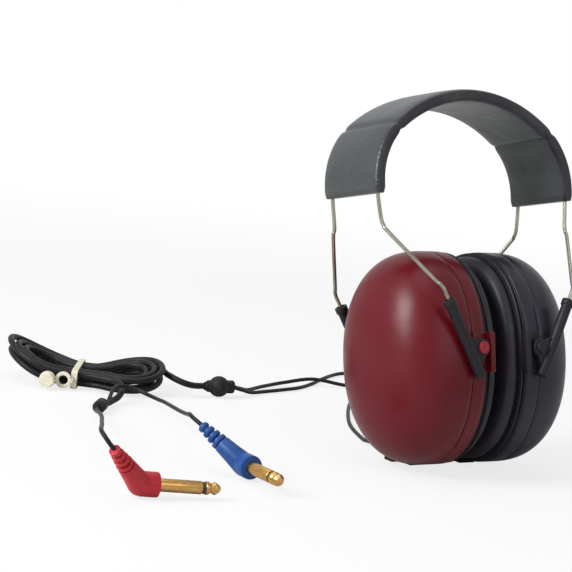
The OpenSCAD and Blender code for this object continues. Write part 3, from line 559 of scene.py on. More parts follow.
# %% [markdown]
# ## Ear cup shells
# The shells are injection-moulded and polished, so they mirror the lamps in long soft shapes. A low
# specular level keeps the white surroundings from greying their dark colours. Smears and a little
# dust keep them from looking new-made in a computer: both are too small to see alone, but they
# soften the highlight.

# %% Polished plastics
def polished(name, colour, lighter):
    finish = Finish(name, colour, 0.34, Specular_IOR_Level=0.24)
    cloud = finish.speckle(14, 3)
    finish.tint(cloud.step(0.35, 0.75) * 0.35, lighter)
    dust = finish.speckle(1500, 2)
    finish.tint(dust.step(0.68, 0.76) * 0.12, tuple(0.5 * c + 0.12 for c in colour))
    smear = finish.speckle(45, 4, 0.6, finish.stretched((1, 1, 3), (20, 35, 10)))
    finish.vary_roughness(smear.step(0.4, 0.8) * 0.08 + cloud * 0.06 + 0.28)
    finish.raise_by(finish.speckle(60, 2), 0.00010)
    return finish


red_plastic = polished("polished_red_plastic", (0.104, 0.0034, 0.0080), (0.128, 0.0080, 0.0110))
blue_plastic = polished("polished_blue_black_plastic", (0.020, 0.021, 0.031), (0.028, 0.029, 0.040))
shell_finish = {"red": red_plastic, "blue": blue_plastic}

# %% Domed shells
cup_w, cup_h, cup_drop, cup_square = 81, 111, 4, 2.2
rim_x, rim_depth, plate_t, cushion_t = 14, 9, 3.5, 7.4
shell_x, plate_x = rim_x + rim_depth, rim_x - plate_t
dome_depth, dome_square, around = 36, 2.5, 128
shell_wall, ear_w, ear_h = 2.2, 42, 66


def cup_places(x, w, h, count=around):
    return [(x, y, z - cup_drop) for y, z in oval_points(w, h, cup_square, count)]


def dome_rows(w, h, depth, x0, steps):
    rows = []
    for i in range(steps + 1):
        a = math.radians(88.5 * i / steps)
        s = math.cos(a) ** (2 / dome_square)
        rows.append(cup_places(x0 + depth * math.sin(a) ** (2 / dome_square), w * s, h * s))
    return rows


def close_crown(bm):
    ends = [e for e in bm.edges if e.is_boundary and e.verts[0].co.x > shell_x + 5]
    bmesh.ops.contextual_create(bm, geom=ends)


def domed_shell(side):
    bm = bmesh.new()
    w, h = cup_w / 2, cup_h / 2
    lip = [cup_places(shell_x + x, w - d, h - d) for x, d in ((0.1, shell_wall), (0.1, 0.5), (0.22, 0.15))]
    loft(bm, lip + dome_rows(w, h, dome_depth, shell_x + 0.45, 36))
    close_crown(bm)
    loft(bm, dome_rows(w - shell_wall, h - shell_wall, dome_depth - shell_wall, shell_x + 0.1, 12))
    close_crown(bm)
    return piece(f"{side}_domed_shell", bm, shell_finish[side], f"{side}_cup",
                 stand, side, replaces=[f"{side}_shell"])


for side in ("red", "blue"):
    domed_shell(side)

# %% [markdown]
# The rim ring closes the shell. A fine dark line shows where the two mouldings meet, so both lips are
# rounded and leave a narrow groove between them.

# %% Rim rings
def rim_ring(side):
    w, h = cup_w / 2, cup_h / 2
    profile = [(rim_x + 0.05, 3), (rim_x + 0.05, 0.9), (rim_x + 0.2, 0.35), (rim_x + 0.6, 0.05),
               (rim_x + 3, 0), (rim_x + 6, 0), (shell_x - 0.7, 0), (shell_x - 0.3, 0.15),
               (shell_x - 0.15, 0.5), (shell_x - 0.15, 3)]
    bm = bmesh.new()
    loft(bm, [cup_places(x, w - d, h - d) for x, d in profile], closed=True)
    return piece(f"{side}_rim_moulding", bm, shell_finish[side], f"{side}_cup",
                 stand, side, replaces=[f"{side}_rim_ring"])


for side in ("red", "blue"):
    rim_ring(side)

# %% [markdown]
# ## Cushion plates and ear cushions
# Each cushion snaps onto a black plate with a groove round its edge. The cushion is a foam ring in
# thin vinyl. It bulges at mid-thickness, is pulled in where it meets the plate, and has fine
# wrinkles that run across it where the vinyl turns inwards. It is modelled straight as a loft, and
# small noise moves its points, because the ring is too thin for a cloth simulation's coarse grid.

# %% Black plastic and soft vinyl
black_plastic = Finish("satin_black_plastic", (0.016, 0.014, 0.019), 0.44, Specular_IOR_Level=0.2)
black_plastic.vary_roughness(black_plastic.speckle(300, 3) * 0.2 + 0.36)
black_plastic.raise_by(black_plastic.speckle(1500, 3, 0.6), 0.00006)
black_plastic.tint(black_plastic.speckle(60, 3).step(0.5, 0.8) * 0.4, (0.032, 0.032, 0.035))

cushion_vinyl = Finish("cushion_vinyl", (0.018, 0.015, 0.022), 0.40, Specular_IOR_Level=0.28)
pores = cushion_vinyl.grain(1300)
wrinkle = cushion_vinyl.speckle(260, 4, 0.6)
cushion_vinyl.tint(cushion_vinyl.speckle(25, 3).step(0.35, 0.7) * 0.5, (0.028, 0.025, 0.034))
cushion_vinyl.vary_roughness(wrinkle * 0.18 + 0.32)
cushion_vinyl.raise_by(wrinkle, 0.00018)
cushion_vinyl.raise_by(pores, 0.00005)

# %% Cushion plates
def cushion_plate(side):
    w, h = cup_w / 2 - 0.4, cup_h / 2 - 0.4
    ear = (ear_w / 2 + 1, ear_h / 2 + 1)
    profile = [(plate_x, 1.0), (plate_x + 0.15, 0.35), (plate_x + 0.45, 0), (plate_x + 0.95, 0),
               (plate_x + 1.15, 0.3), (plate_x + 1.25, 1.5), (plate_x + 2.25, 1.5), (plate_x + 2.35, 0.3),
               (plate_x + 2.55, 0), (rim_x - 0.35, 0), (rim_x - 0.1, 0.4), (rim_x - 0.05, 1.0)]
    bm = bmesh.new()
    rows = [cup_places(x, w - d, h - d) for x, d in profile]
    rows += [cup_places(rim_x - 0.05, *ear), cup_places(plate_x, *ear)]
    loft(bm, rows, closed=True)
    return piece(f"{side}_grooved_plate", bm, black_plastic, f"{side}_cup",
                 stand, side, replaces=[f"{side}_cushion_plate"])


# %% Ear cushions
# Pairs of how far across the ring and how far through its thickness, both from 0 to 1
cushion_section = [(0.10, 0.0), (0.05, 0.06), (0.015, 0.18), (0, 0.32), (0, 0.46), (0.02, 0.6), (0.06, 0.73),
                   (0.12, 0.84), (0.2, 0.925), (0.3, 0.98), (0.42, 1), (0.54, 1), (0.66, 0.985), (0.78, 0.93),
                   (0.87, 0.85), (0.94, 0.73), (0.985, 0.58), (1, 0.42), (0.99, 0.27), (0.96, 0.13), (0.9, 0.0)]


def ear_cushion(side):
    out_w, out_h = cup_w / 2 - 2.4, cup_h / 2 - 2.4
    in_w, in_h = ear_w / 2, ear_h / 2
    rows = []
    for share, thick in cushion_section:
        w, h = out_w + (in_w - out_w) * share, out_h + (in_h - out_h) * share
        rows.append(cup_places(plate_x - thick * cushion_t, w, h, 160))
    bm = bmesh.new()
    loft(bm, rows, closed=True)
    for v in bm.verts:
        depth = (plate_x - v.co.x) / cushion_t
        angle = math.atan2(v.co.z + cup_drop, v.co.y)
        soft = smooth_noise(v.co * 0.09 + Vector((11, 0, 0))) * 0.28
        crease = smooth_noise(Vector((angle * 14, v.co.x * 0.25, 3))) * 0.16
        radial = Vector((0, v.co.y, v.co.z + cup_drop)).normalized()
        v.co -= radial * (abs(crease) + max(0, soft)) * min(1, depth * 3) * 0.9
    return piece(f"{side}_vinyl_cushion", bm, cushion_vinyl, f"{side}_cup",
                 stand, side, smooth=60, replaces=[f"{side}_ear_cushion"])


for side in ("red", "blue"):
    cushion_plate(side)
    cushion = ear_cushion(side)
    sign = -1 if side == "red" else 1
    sign * plate_x * MM
    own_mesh(cushion)

# %% [markdown]
# ## Headband sheath
# The sheath is a flat tube of soft vinyl, welded along its edges and across near each end, with a
# thin foam pad inside. Its side edges are painted darker than its outer face, as painted shade for
# side walls that turn away from the light. The weld pinches the pad, so the face dips there. The hem
# at each end is pressed flat.

# %% Grained sheath vinyl
sheath_vinyl = Finish("sheath_vinyl", (0.044, 0.050, 0.053), 0.38, Specular_IOR_Level=0.38)
hide = sheath_vinyl.grain(900, "SMOOTH_F1")
# Painted shade: the sheath's side edges are tinted darker, as if turned away from the light.
sheath_vinyl.tint(sheath_vinyl.attribute("edge"), (0.016, 0.014, 0.021))
sheath_vinyl.tint(sheath_vinyl.speckle(30, 4).step(0.4, 0.75) * 0.45, (0.070, 0.080, 0.080))
sheath_vinyl.vary_roughness(sheath_vinyl.speckle(120, 3) * 0.16 + 0.26)
sheath_vinyl.raise_by(sheath_vinyl.speckle(48, 3, 0.5), 0.0010)
sheath_vinyl.raise_by(hide, 0.00016)

# %% The arch of the band
band_w, hem_z, band_top, shoulder_r = 130, 79, 132, 38
sheath_w, sheath_t = 44, 8
arch_base = hem_z + 6
shoulder_x = band_w / 2 - shoulder_r
crown_reach = band_top - shoulder_r
crown_z = (crown_reach ** 2 - arch_base ** 2 - shoulder_x ** 2) / (2 * (crown_reach - arch_base))
crown_r = band_top - crown_z
shoulder_end = math.atan2(arch_base - crown_z, shoulder_x)


def arch(angle):
    x, z, r = 0, crown_z, crown_r
    if angle < shoulder_end:
        x, z, r = shoulder_x, arch_base, shoulder_r
    elif angle > math.pi - shoulder_end:
        x, z, r = -shoulder_x, arch_base, shoulder_r
    return Vector((x + r * math.cos(angle), 0, z + r * math.sin(angle)))


# %% The sheath's skin
def sheath():
    hem_drop, welds, count = 6, (48, 132), 48
    stops = [(0, k - hem_drop) for k in range(hem_drop)]
    stops += [(math.radians(a * 1.5), 0) for a in range(121)]
    stops += [(math.pi, -k) for k in range(1, hem_drop + 1)]
    rows = []
    for angle, drop in stops:
        normal = Vector((math.cos(angle), 0, math.sin(angle)))
        centre = arch(angle) + Vector((0, 0, drop))
        pinch = 1 - 0.34 * sum(math.exp(-((math.degrees(angle) - w) / 2.6) ** 2) for w in welds)
        hem = 1 - 0.42 * max(0, (-drop - 2.5) / 3.5) ** 1.5
        row = []
        for i in range(count):
            across, out = oval(sheath_w / 2, sheath_t / 2, 2 * math.pi * (i + 0.5) / count, 6)
            crown = 1 - 0.10 * (across / (sheath_w / 2)) ** 2
            spot = Vector((centre.x * 0.05, across * 0.08, centre.z * 0.05 + math.copysign(7, out)))
            wave = 0.22 * smooth_noise(spot) if abs(across) < 19 else 0
            row.append(centre + normal * (out * pinch * hem * crown + wave) + Vector((0, -across, 0)))
        rows.append(row)
    bm = bmesh.new()
    loft(bm, rows, caps=True)
    made = piece("headband_sheath", bm, sheath_vinyl, None, stand, smooth=50,
                 replaces=["band_cover", "band_foam"])
    # The edge attribute runs from 0 on the face to 1 at the side walls, and sets where the painted shade goes.
    edge = made.data.attributes.new("edge", "FLOAT", "POINT")
    back = stand.inverted()
    across = [abs((back @ v.co).y) for v in made.data.vertices]
    edge.data.foreach_set("value", [max(0.0, min(1.0, (y - 19.5) / 1.6)) for y in across])
    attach(made, "headband")


sheath()

# %% [markdown]
# ## Spring wires
# Two drawn steel wires carry the cups. Each is one rod, bent by hand at the hem and again above the
# holder, and straight where it slides. Long scratches along the wire come from drawing it.

# %% Wires
spring_steel = Finish("spring_steel", (0.33, 0.31, 0.25), 0.32, metallic=1.0)
spring_steel.tint(spring_steel.speckle(90, 3).step(0.4, 0.7) * 0.7, (0.20, 0.18, 0.13))
spring_steel.vary_roughness(spring_steel.speckle(700, 3) * 0.25 + 0.20)
spring_steel.raise_by(spring_steel.speckle(900, 2), 0.00002)

pin_x, holder_tilt, lug_reach, holder_up, holder_down = 20, math.radians(28), 7.6, 31.5, 12.8
holder_d, wire_d, wire_gap = 5.6, 2, 37
holder_y = cup_w / 2 + 0.3 + holder_d / 2
holder_dir = Vector((math.sin(holder_tilt), 0, math.cos(holder_tilt)))
holder_foot = Vector((pin_x + lug_reach * math.cos(holder_tilt), 0, -lug_reach * math.sin(holder_tilt)))


def on_wire(s):
    return Vector((holder_foot.x, holder_y, holder_foot.z)) + holder_dir * s


def band_wire(end):
    straight = holder_up + 5
    hem = Vector((band_w / 2, wire_gap / 2, hem_z))
    side = [on_wire(s) for s in (-9.1, 10, straight - 8, straight - 2, straight + 1)]
    side += [on_wire(straight + 4) + Vector((0.2, -1.2, 0)), on_wire(straight + 7.5) + Vector((0.6, -4, 0)),
             hem + Vector((-3.4, 4.4, -20.5)), hem + Vector((-2, 1.6, -16.5)),
             hem + Vector((-1.2, 0.5, -12)), hem]
    line = side + [arch(math.radians(7.5 * i)) + Vector((0, wire_gap / 2, 0)) for i in range(25)]
    line += [Vector((-p.x, p.y, p.z)) for p in reversed(side)]
    sign = -1 if end == "front" else 1
    line = [Vector((p.x, sign * p.y, p.z)) for p in smooth_line(line, 6)]
    line = [(stand @ p) / MM for p in line]
    wire = round_cord(f"{end}_spring_wire", line, wire_d, spring_steel, "headband")
    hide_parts(f"{end}_band_wire")


for end in ("front", "rear"):
    band_wire(end)

# %% [markdown]
# ## Turned and blocked parts
# Pins, plugs and strain reliefs are round, so each is a half outline spun about its axis. Brackets
# and glands are boxes with their edges rounded. Real moulded edges are never knife-sharp, and the
# small rounds catch the light.

# %% Spin and block helpers
def spun(bm, outline, steps=48, matrix=Matrix()):
    """Spin an outline of (radius, height) pairs about Z. Tagged faces are from before, and stay put."""
    verts = [bmesh.ops.create_vert(bm, co=(r, 0, z))["vert"][0] for r, z in outline]
    edges = [bm.edges.new(pair) for pair in zip(verts, verts[1:])]
    bmesh.ops.spin(bm, geom=verts + edges, cent=(0, 0, 0), axis=(0, 0, 1), angle=2 * math.pi,
                   steps=steps, use_merge=True)
    made = {v for f in bm.faces for v in f.verts if not f.tag}
    for face in bm.faces:
        face.tag = True
    bmesh.ops.remove_doubles(bm, verts=list(made), dist=1e-5)
    alive = [v for v in made if v.is_valid]
    bmesh.ops.transform(bm, matrix=matrix, verts=alive)
    return alive


def block(bm, low, high, soft=0.4, matrix=Matrix()):
    low, high = Vector(low), Vector(high)
    made = bmesh.ops.create_cube(bm, size=1)["verts"]
    fit = Matrix.Translation((low + high) / 2) @ Matrix.Diagonal((*(high - low), 1))
    bmesh.ops.transform(bm, matrix=fit, verts=made)
    edges = list({e for v in made for e in v.link_edges})
    done = bmesh.ops.bevel(bm, geom=edges, offset=soft, affect="EDGES", segments=3, profile=0.5, material=-1)
    verts = list({v for f in done["faces"] for v in f.verts} | {v for v in made if v.is_valid})
    bmesh.ops.transform(bm, matrix=matrix, verts=verts)
    for face in bm.faces:
        face.tag = True
    return verts


# %% [markdown]
# ## Holders, pins and brackets
# Each wire ends in a black moulded tube with a collar at its mouth. A lug on the tube turns on a
# pin in the rim's bracket. The mouth is hollow, so the wire comes out of a dark ring.

# %% Wire holders
end_flip = {"front": Matrix.Scale(-1, 4, (0, 1, 0)), "rear": Matrix()}
lug_y, lug_t, pin_head_d, pin_d = cup_w / 2 + 0.6, 3.6, 6.4, 4
eye_r = pin_head_d / 2 + 1.4


def lug_radius(angle, web_end=6.2):
    root, half = eye_r - 0.6, holder_down * 0.85
    c, s = math.cos(angle), abs(math.sin(angle))
    if c <= 0.05:
        return eye_r
    slope = (half - root) / lug_reach
    side = root / (s - slope * c) if s > slope * c else 1e9
    return max(eye_r, min(web_end / c, side))


def lug_loop(y, radius, count=96):
    """A loop round the pin at this depth of the lug. The radius is a function of the angle."""
    angles = [2 * math.pi * i / count for i in range(count)]
    return [(pin_x + radius(a) * math.cos(a - holder_tilt), lug_y + y,
             radius(a) * math.sin(a - holder_tilt)) for a in angles]


def wire_holder(side, end):
    bm = bmesh.new()
    tube = Matrix.Translation(on_wire(0)) @ Matrix.Rotation(holder_tilt, 4, "Y")
    spun(bm, [(0, -12.8), (2.3, -12.8), (2.65, -12.65), (2.8, -12.3), (2.8, 27.9), (2.9, 28.15), (3.25, 28.25),
              (3.4, 28.45), (3.4, 31.1), (3.3, 31.4), (3.05, 31.5), (2.2, 31.5), (1.95, 31.35), (1.85, 31.0),
              (1.8, 29.5), (1.06, 29.4), (1.06, -10.6), (0, -10.6)], 48, tube)
    edge = ((0.0, 0.35), (0.1, 0.1), (0.35, 0), (lug_t - 0.35, 0), (lug_t - 0.1, 0.1), (lug_t, 0.35))
    rows = [lug_loop(y, lambda a: lug_radius(a) - inwards) for y, inwards in edge]
    hole = [lug_loop(y, lambda a: pin_d / 2 + 0.06) for y in (lug_t, 0)]
    loft(bm, rows + hole, closed=True)
    return piece(f"{side}_{end}_wire_holder", bm, black_plastic, f"{side}_{end}_holder",
                 stand @ end_flip[end], side, replaces=[f"{side}_{end}_holder"])


for side in ("red", "blue"):
    for end in ("front", "rear"):
        wire_holder(side, end)

# %% Pivot pins and rim brackets
red_enamel = Finish("red_enamel", (0.34, 0.016, 0.024), 0.35, Specular_IOR_Level=0.3)
red_enamel.tint(red_enamel.speckle(500, 3).step(0.5, 0.8) * 0.5, (0.30, 0.012, 0.020))
red_enamel.vary_roughness(red_enamel.speckle(800, 3) * 0.2 + 0.28)
head_y, bracket_in, bracket_face = lug_y + lug_t + 0.1, cup_w / 2 - 3 + 0.8, cup_w / 2
bracket_low, bracket_high, stop_t = -12.5, 8, 3.6


def pivot_pin(side, end):
    bm = bmesh.new()
    shank = head_y - bracket_in
    spun(bm, [(0, 0), (2, 0), (2, shank), (3.0, shank), (3.2, shank + 0.2), (3.2, shank + 0.75),
              (3.05, shank + 1.1), (2.6, shank + 1.32), (1.7, shank + 1.4), (1.3, shank + 1.3),
              (1.0, shank + 1.1), (0, shank + 1.05)],
         48, Matrix.Translation((pin_x, bracket_in, 0)) @ Matrix.Rotation(math.radians(-90), 4, "X"))
    finish, slot = (red_enamel, "red_pin") if side == "red" else (black_plastic, "black_plastic")
    return piece(f"{side}_{end}_pivot_pin", bm, finish, f"{side}_cup",
                 stand @ end_flip[end], side, replaces=[f"{side}_{end}_pin"])


def rim_bracket(side, end):
    bm = bmesh.new()
    near = plate_x + 0.35
    block(bm, (near, bracket_in, bracket_low), (shell_x - 0.15, bracket_face + 0.12, bracket_high), 0.35)
    block(bm, (near, bracket_in + 1, bracket_low), (14.1, bracket_face + stop_t, bracket_high), 0.6)
    finish, slot = (red_plastic, "red_shell_plastic") if side == "red" else (black_plastic, "black_plastic")
    return piece(f"{side}_{end}_rim_bracket", bm, finish, f"{side}_cup",
                 stand @ end_flip[end], side, replaces=[f"{side}_{end}_bracket"])


for side in ("red", "blue"):
    for end in ("front", "rear"):
        pivot_pin(side, end)
        rim_bracket(side, end)

# %% [markdown]
# ## Cable exits
# Under each cup a black foot carries the cable out through a ribbed strain relief. The ribs let the
# rubber bend a little at a time, so the lead doesn't kink where it leaves.

# %% Glands, strain reliefs and shell plugs
gland_l, gland_h, relief_l, relief_d = 13, 6, 22, 5
gland_y = cup_exit - 0.4 - relief_l - gland_l / 2
black_rubber = Finish("black_rubber", (0.012, 0.011, 0.013), 0.55, Specular_IOR_Level=0.18)
black_rubber.tint(black_rubber.speckle(350, 4).step(0.4, 0.8) * 0.6, (0.040, 0.040, 0.042))
black_rubber.vary_roughness(black_rubber.speckle(500, 3) * 0.2 + 0.45)
black_rubber.raise_by(black_rubber.speckle(1100, 3), 0.00008)


def cable_exit(side):
    bm = bmesh.new()
    gland_end = gland_y + gland_l / 2
    block(bm, (plate_x + 1, gland_y - gland_l / 2, 0.05), (shell_x - 0.2, gland_end, gland_h), 0.9)
    piece(f"{side}_cable_foot", bm, black_plastic, f"{side}_cup", to_metres, side,
          replaces=[f"{side}_cable_gland"])
    bm = bmesh.new()
    stem, ribs, tip_d = 3, 5, lead_d + 1.2
    outline = [(0, 0), (relief_d / 2 - 0.5, 0), (relief_d / 2 - 0.5, stem)]
    step = (relief_l - stem) / ribs
    for i in range(ribs):
        r = relief_d / 2 - (relief_d - tip_d) / 2 * i / ribs
        z = stem + i * step
        outline += [(r - 0.35, z), (r - 0.08, z + 0.12), (r, z + 0.4), (r - 0.02, z + 0.5 * step),
                    (r - 0.12, z + 0.62 * step), (r - 0.45, z + 0.68 * step), (r - 0.5, z + 0.95 * step)]
    tip = tip_d / 2
    outline += [(tip, relief_l + 1.6), (tip, relief_l + 2.6), (tip - 0.2, relief_l + 2.9),
                (tip - 0.5, relief_l + 3), (lead_d / 2 - 0.05, relief_l + 3), (0, relief_l + 2.5)]
    start = Matrix.Translation((gland_x, gland_end - stem, relief_z))
    spun(bm, outline, 32, start @ Matrix.Rotation(math.radians(-90), 4, "X"))
    piece(f"{side}_ribbed_relief", bm, black_rubber, f"{side}_cup", to_metres, side,
          replaces=[f"{side}_strain_relief"])
    bm = bmesh.new()
    block(bm, (shell_x + 4, gland_y - 3.5, 1.5), (shell_x + 10, gland_y + 3.5, gland_h + 1), 0.9)
    piece(f"{side}_rubber_plug", bm, black_rubber, f"{side}_cup", to_metres, side,
          replaces=[f"{side}_shell_plug"])


for side in ("red", "blue"):
    cable_exit(side)

# %% [markdown]
# ## Inside the cups
# Through the cushion's opening one sees a soft dust disc. Behind it are the receiver on its plate
# and a foam lining that damps the shell. The disc and the lining are soft, so they are lofted again
# with rounded edges.

# %% Foam parts
grey_foam = Finish("open_cell_foam", (0.055, 0.055, 0.058), 0.9, Sheen_Weight=0.2, Sheen_Roughness=0.6)
cells = grey_foam.grain(1100)
grey_foam.tint(cells.step(0.1, 0.55), (0.022, 0.022, 0.024))
grey_foam.vary_roughness(grey_foam.speckle(400, 3) * 0.15 + 0.8)
grey_foam.raise_by(cells, 0.0004)


def dust_disc(side):
    inset, disc_x = 5.5, rim_x + 0.1
    w, h = cup_w / 2 - inset, cup_h / 2 - inset
    bm = bmesh.new()
    profile = [(2.3, 3), (2.28, 0.5), (1.9, 0.05), (0.5, 0), (0.15, 0.3), (0.02, 1.2), (0, 6),
               (-0.15, 14), (-0.3, 24), (-0.35, 33)]
    loft(bm, [cup_places(disc_x + x, w - d, h - d) for x, d in profile], caps=True)
    return piece(f"{side}_foam_disc", bm, grey_foam, f"{side}_cup", stand, side,
                 replaces=[f"{side}_dust_disc"])


def foam_lining(side):
    gap, thick = 2.5 + 0.3, 6
    bm = bmesh.new()
    w, h = cup_w / 2 - gap, cup_h / 2 - gap
    outer = dome_rows(w, h, dome_depth - gap, shell_x + 0.3, 12)
    inner = dome_rows(w - thick, h - thick, dome_depth - gap - thick, shell_x + 0.3, 12)
    loft(bm, inner[::-1] + outer, caps=True)
    return piece(f"{side}_foam_lining", bm, grey_foam, f"{side}_cup", stand, side,
                 replaces=[f"{side}_damping_foam"])


for side in ("red", "blue"):
    dust_disc(side)
    foam_lining(side)

# %% [markdown]
# The receivers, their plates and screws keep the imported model's shapes, with better finishes.

# %% Finishes for the hidden metal parts
grey_sheet = Finish("grey_sheet", (0.16, 0.16, 0.165), 0.5)
grey_sheet.vary_roughness(grey_sheet.speckle(600, 3) * 0.2 + 0.4)
driver_black = Finish("driver_black", (0.03, 0.03, 0.032), 0.45)
driver_black.vary_roughness(driver_black.speckle(700, 3) * 0.2 + 0.35)
screw_zinc = Finish("screw_zinc", (0.55, 0.55, 0.53), 0.3, metallic=1.0)
screw_zinc.vary_roughness(screw_zinc.speckle(900, 3) * 0.25 + 0.2)
for side in ("red", "blue"):
    for part, finish in (("receiver_plate", grey_sheet), ("receiver", driver_black),
                         ("receiver_screws", screw_zinc)):
        kept = nodes[f"{side}_{part}"]
        for slot in kept.material_slots:
            slot.material = finish.material
print("refinished", 6, "packed parts")

# %% [markdown]
# ## Yoke, sleeve and tie
# The yoke is a ball with a collar on each side, moulded over the joint of the two leads. The tie is
# cream nylon with a release loop and a button, drawn round the waist of the hank.

# %% Yoke and split sleeve
def lying(place, direction):
    return to_metres @ Matrix.Translation(place) @ direction.to_track_quat("Z", "X").to_matrix().to_4x4()


def ball_points(radius, low, high, count=14):
    a, b = math.acos(low / radius), math.acos(high / radius)
    angles = [a + (b - a) * i / count for i in range(count + 1)]
    return [(radius * math.sin(angle), radius * math.cos(angle)) for angle in angles]


bm = bmesh.new()
spun(bm, [(0, -9), (3.1, -9), (3.6, -8.8), (3.78, -8.3), (3.78, -5.0)] + ball_points(6, -4.4, 4.4)
     + [(3.42, 5.2), (3.42, 6.8), (3.2, 7.2), (2.52, 7.25), (2.52, 8.7), (2.2, 9), (0, 9)])
yoke = piece("yoke_ball", bm, black_rubber, "headband", lying(yoke_at, yoke_dir),
             replaces=["lead_yoke"])
bm = bmesh.new()
spun(bm, [(0, -5), (2.9, -5), (3.3, -4.85), (3.5, -4.5), (3.5, -1.6), (3.42, -1.45), (3.42, -1.1),
          (3.5, -0.95), (3.5, 4.5), (3.3, 4.85), (2.9, 5), (0, 5)])
sleeve = piece("split_sleeve_moulding", bm, black_rubber, "headband", lying(split_at, split_dir),
               replaces=["split_sleeve"])

# %% Cream tie
cream_nylon = Finish("cream_nylon", (0.70, 0.66, 0.52), 0.38, Subsurface_Weight=0.08, Subsurface_Scale=0.002)
cream_nylon.tint(cream_nylon.speckle(260, 4).step(0.4, 0.8) * 0.5, (0.58, 0.53, 0.40))
cream_nylon.vary_roughness(cream_nylon.speckle(500, 3) * 0.2 + 0.28)
cream_nylon.raise_by(cream_nylon.speckle(700, 2), 0.00004)
tie_x, tie_t, tie_w, tie_slack, tie_square, tie_steps = -5, 0.8, 3.4, 0.8, 10, 72
tie_half = waist_half + hollow_r - math.sqrt(hollow_r ** 2 - tie_x ** 2) + twin_d / 2 + tie_slack
out_w, in_h = tie_half + tie_t, layer_pitch / 2 + twin_d / 2 + 0.2
tie_place = (to_metres @ Matrix.Translation((hank_middle[0], hank_middle[1], layer_z + layer_pitch / 2))
             @ Matrix.Rotation(hank_turn, 4, "Z"))
soft, side_x = 0.15, tie_w / 2
across_x = Matrix.Rotation(math.radians(90), 4, "X")
bm = bmesh.new()
rows = []
for x, d in ((-side_x, soft), (-1.55, 0), (1.55, 0), (side_x, soft)):
    outer = oval_points(out_w - d, in_h + tie_t - d, tie_square, tie_steps)
    rows.append([(tie_x + x, y, z) for y, z in outer])
for x, d in ((side_x, soft), (1.55, 0), (-1.55, 0), (-side_x, soft)):
    inner = oval_points(tie_half + d, in_h + d, tie_square, tie_steps)
    rows.append([(tie_x + x, y, z) for y, z in inner])
loft(bm, rows, closed=True)
block(bm, (tie_x - side_x, -out_w - 3, -1.5), (tie_x - 0.1, -out_w + 0.4, 1.5), 0.35)
spun(bm, [(2.6, -0.7), (2.9, -1), (4.3, -1), (4.6, -0.7), (4.6, 0.7), (4.3, 1), (2.9, 1), (2.6, 0.7),
          (2.6, -0.7)], 40, Matrix.Translation((tie_x - 5.5, -out_w - 2.3, 0)) @ across_x)
block(bm, (0, 0, 0), (6, 1.4, 2.8), 0.3,
      Matrix.Translation((tie_x - 9.5, -out_w - 2.4, -1.4)) @ Matrix.Rotation(math.radians(212), 4, "Z"))
spun(bm, [(0, 0), (4.3, 0), (4.6, 0.3), (4.45, 1.6), (4.5, 2.2), (4.3, 2.5), (4.0, 4.6), (3.7, 5), (0, 5)],
     40, Matrix.Translation((tie_x - 14, -out_w - 5.2, 0)) @ across_x)
tie = piece("release_tie", bm, cream_nylon, "headband", tie_place, replaces=["hank_tie"])

# %% [markdown]
# ## Plugs
# Each plug has a moulded boot with four ribs, an angled elbow and a stub, and a quarter-inch gold
# plug: sleeve, black ring and tip. The boot is vinyl and slightly soft, so its edges are round.

# %% Plug finishes
def boot_vinyl(name, colour, darker):
    finish = Finish(name, colour, 0.42, Specular_IOR_Level=0.3)
    finish.tint(finish.speckle(180, 4).step(0.4, 0.75) * 0.55, darker)
    finish.vary_roughness(finish.speckle(420, 3) * 0.2 + 0.32)
    finish.raise_by(finish.speckle(900, 3), 0.00006)
    return finish


boot_finish = {"red": boot_vinyl("red_boot_vinyl", (0.46, 0.018, 0.030), (0.30, 0.010, 0.018)),
               "blue": boot_vinyl("blue_boot_vinyl", (0.010, 0.060, 0.24), (0.006, 0.035, 0.15))}
plug_gold = Finish("plug_gold", (0.48, 0.27, 0.08), 0.25, metallic=1.0)
plug_gold.tint(plug_gold.speckle(350, 4).step(0.4, 0.7) * 0.5, (0.58, 0.40, 0.18))
plug_gold.vary_roughness(plug_gold.speckle(900, 3) * 0.22 + 0.16)
ring_black = Finish("plug_ring_black", (0.012, 0.012, 0.013), 0.4)
ring_black.vary_roughness(ring_black.speckle(900, 3) * 0.2 + 0.3)

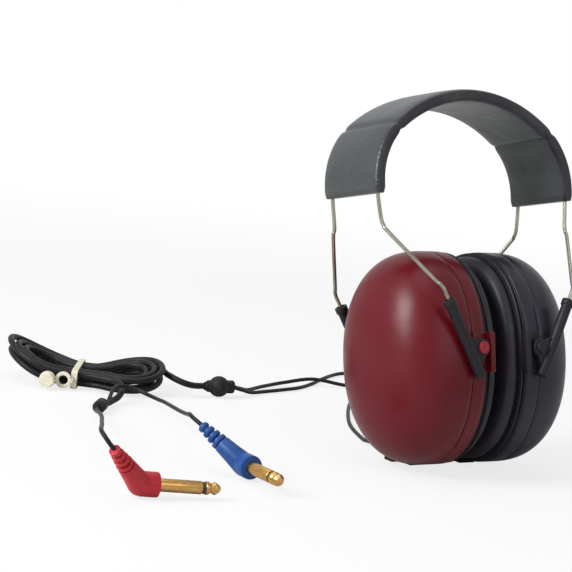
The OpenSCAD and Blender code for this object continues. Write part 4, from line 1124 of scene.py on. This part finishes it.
# %% Boots and plug pins
jack_d, jack_l, ring_l, tip_l, ring_inset = 6.35, 31, 1.8, 7.9, 0.35
pin_sleeve_l = jack_l - ring_l - tip_l
along_x = Matrix.Rotation(math.radians(90), 4, "Y")
for side, (elbow, turns) in plug_places.items():
    at_elbow = Matrix.Translation(elbow) @ plug_turn(side)
    plain, ribs, ball_r = boot_l * 0.52, 4, stub_r - 0.2
    step = (boot_l - plain) / ribs
    outline = ball_points(ball_r, -ball_r, 0.4, 10)
    outline += [(ball_r, 1.0), (5.0, plain * 0.5), (4.4, plain - 0.6), (4.2, plain)]
    for i in range(ribs):
        r, z = 4.2 - 0.45 * i, plain + step * i
        groove = r - 1.35 + 0.2 * i
        across = (groove, groove, r - 0.2, r, r, r - 0.2, groove)
        along = (0.02, 0.16, 0.20, 0.28, 0.72, 0.80, 0.84)
        outline += [(x, z + share * step) for x, share in zip(across, along)]
    outline += [(1.9, boot_l - 0.1), (1.6, boot_l), (0, boot_l)]
    bm = bmesh.new()
    bent = Vector((-math.cos(elbow_bend), math.sin(elbow_bend), 0)).to_track_quat("Z", "Y").to_matrix().to_4x4()
    spun(bm, outline, 40, at_elbow @ bent)
    spun(bm, [(0, 0), (stub_r - 0.2, 0), (stub_r, 0.5), (stub_r, stub_l - 0.6), (stub_r - 0.15, stub_l - 0.2),
              (stub_r - 0.6, stub_l), (0, stub_l)], 48, at_elbow @ along_x)
    boot = piece(f"{side}_ribbed_boot", bm, boot_finish[side], "headband", to_metres,
                 replaces=[f"{side}_plug_boot"])
    r = jack_d / 2
    sleeve_shape = [(0, 0), (r, 0), (r, pin_sleeve_l - 0.25), (r - 0.15, pin_sleeve_l - 0.05),
                    (0, pin_sleeve_l - 0.05)]
    ring_shape = [(0, 0), (r - ring_inset, 0), (r - ring_inset, ring_l), (0, ring_l)]
    tip_shape = [(0, 0.05), (r - 0.15, 0.05), (r, 0.2), (r, 1.5), (r * 0.93, 1.9), (r * 0.74, 2.6),
                 (r * 0.70, 3.0), (r * 0.74, 3.4), (r * 0.93, 4.3), (r * 0.96, 4.9), (r * 0.90, 5.5),
                 (r * 0.45, tip_l - 0.55), (r * 0.28, tip_l - 0.15), (r * 0.1, tip_l), (0, tip_l)]
    shapes = {
        "sleeve": (plug_gold, "plug_gold", 0, sleeve_shape),
        "ring": (ring_black, "black_plastic", pin_sleeve_l, ring_shape),
        "tip": (plug_gold, "plug_gold", pin_sleeve_l + ring_l, tip_shape),
    }
    for part, (finish, slot, start, shape) in shapes.items():
        bm = bmesh.new()
        spun(bm, shape, 48, at_elbow @ Matrix.Translation((stub_l + start, 0, 0)) @ along_x)
        piece(f"{side}_turned_{part}", bm, finish, "headband", to_metres,
                          replaces=[f"{side}_plug_{part}"])

# %% [markdown]
# ## The cords' ends and lengths
# Each free cord's first point and its length are worked out in metres, and nothing more is done with
# them. The two cup leads have their places baked into their meshes.

def metres(points):
    return [tuple(p * MM) for p in points]


def declare(line, path=None):
    tuple(line[0] * MM)
    line_length(line) * MM


declare(red_lead_line, path=metres(red_lead_line))
declare(blue_lead_line, path=metres(blue_lead_line))
declare(cable_line)
declare(red_plug_line)
declare(blue_plug_line)
for side, cord, line in (("red", red_cup_cord, red_lead_line), ("blue", blue_cup_cord, blue_lead_line)):
    start, end = Vector((line[0].x, 78, 2)) * MM, Vector((line[0].x, 34, 2)) * MM
    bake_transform(cord)
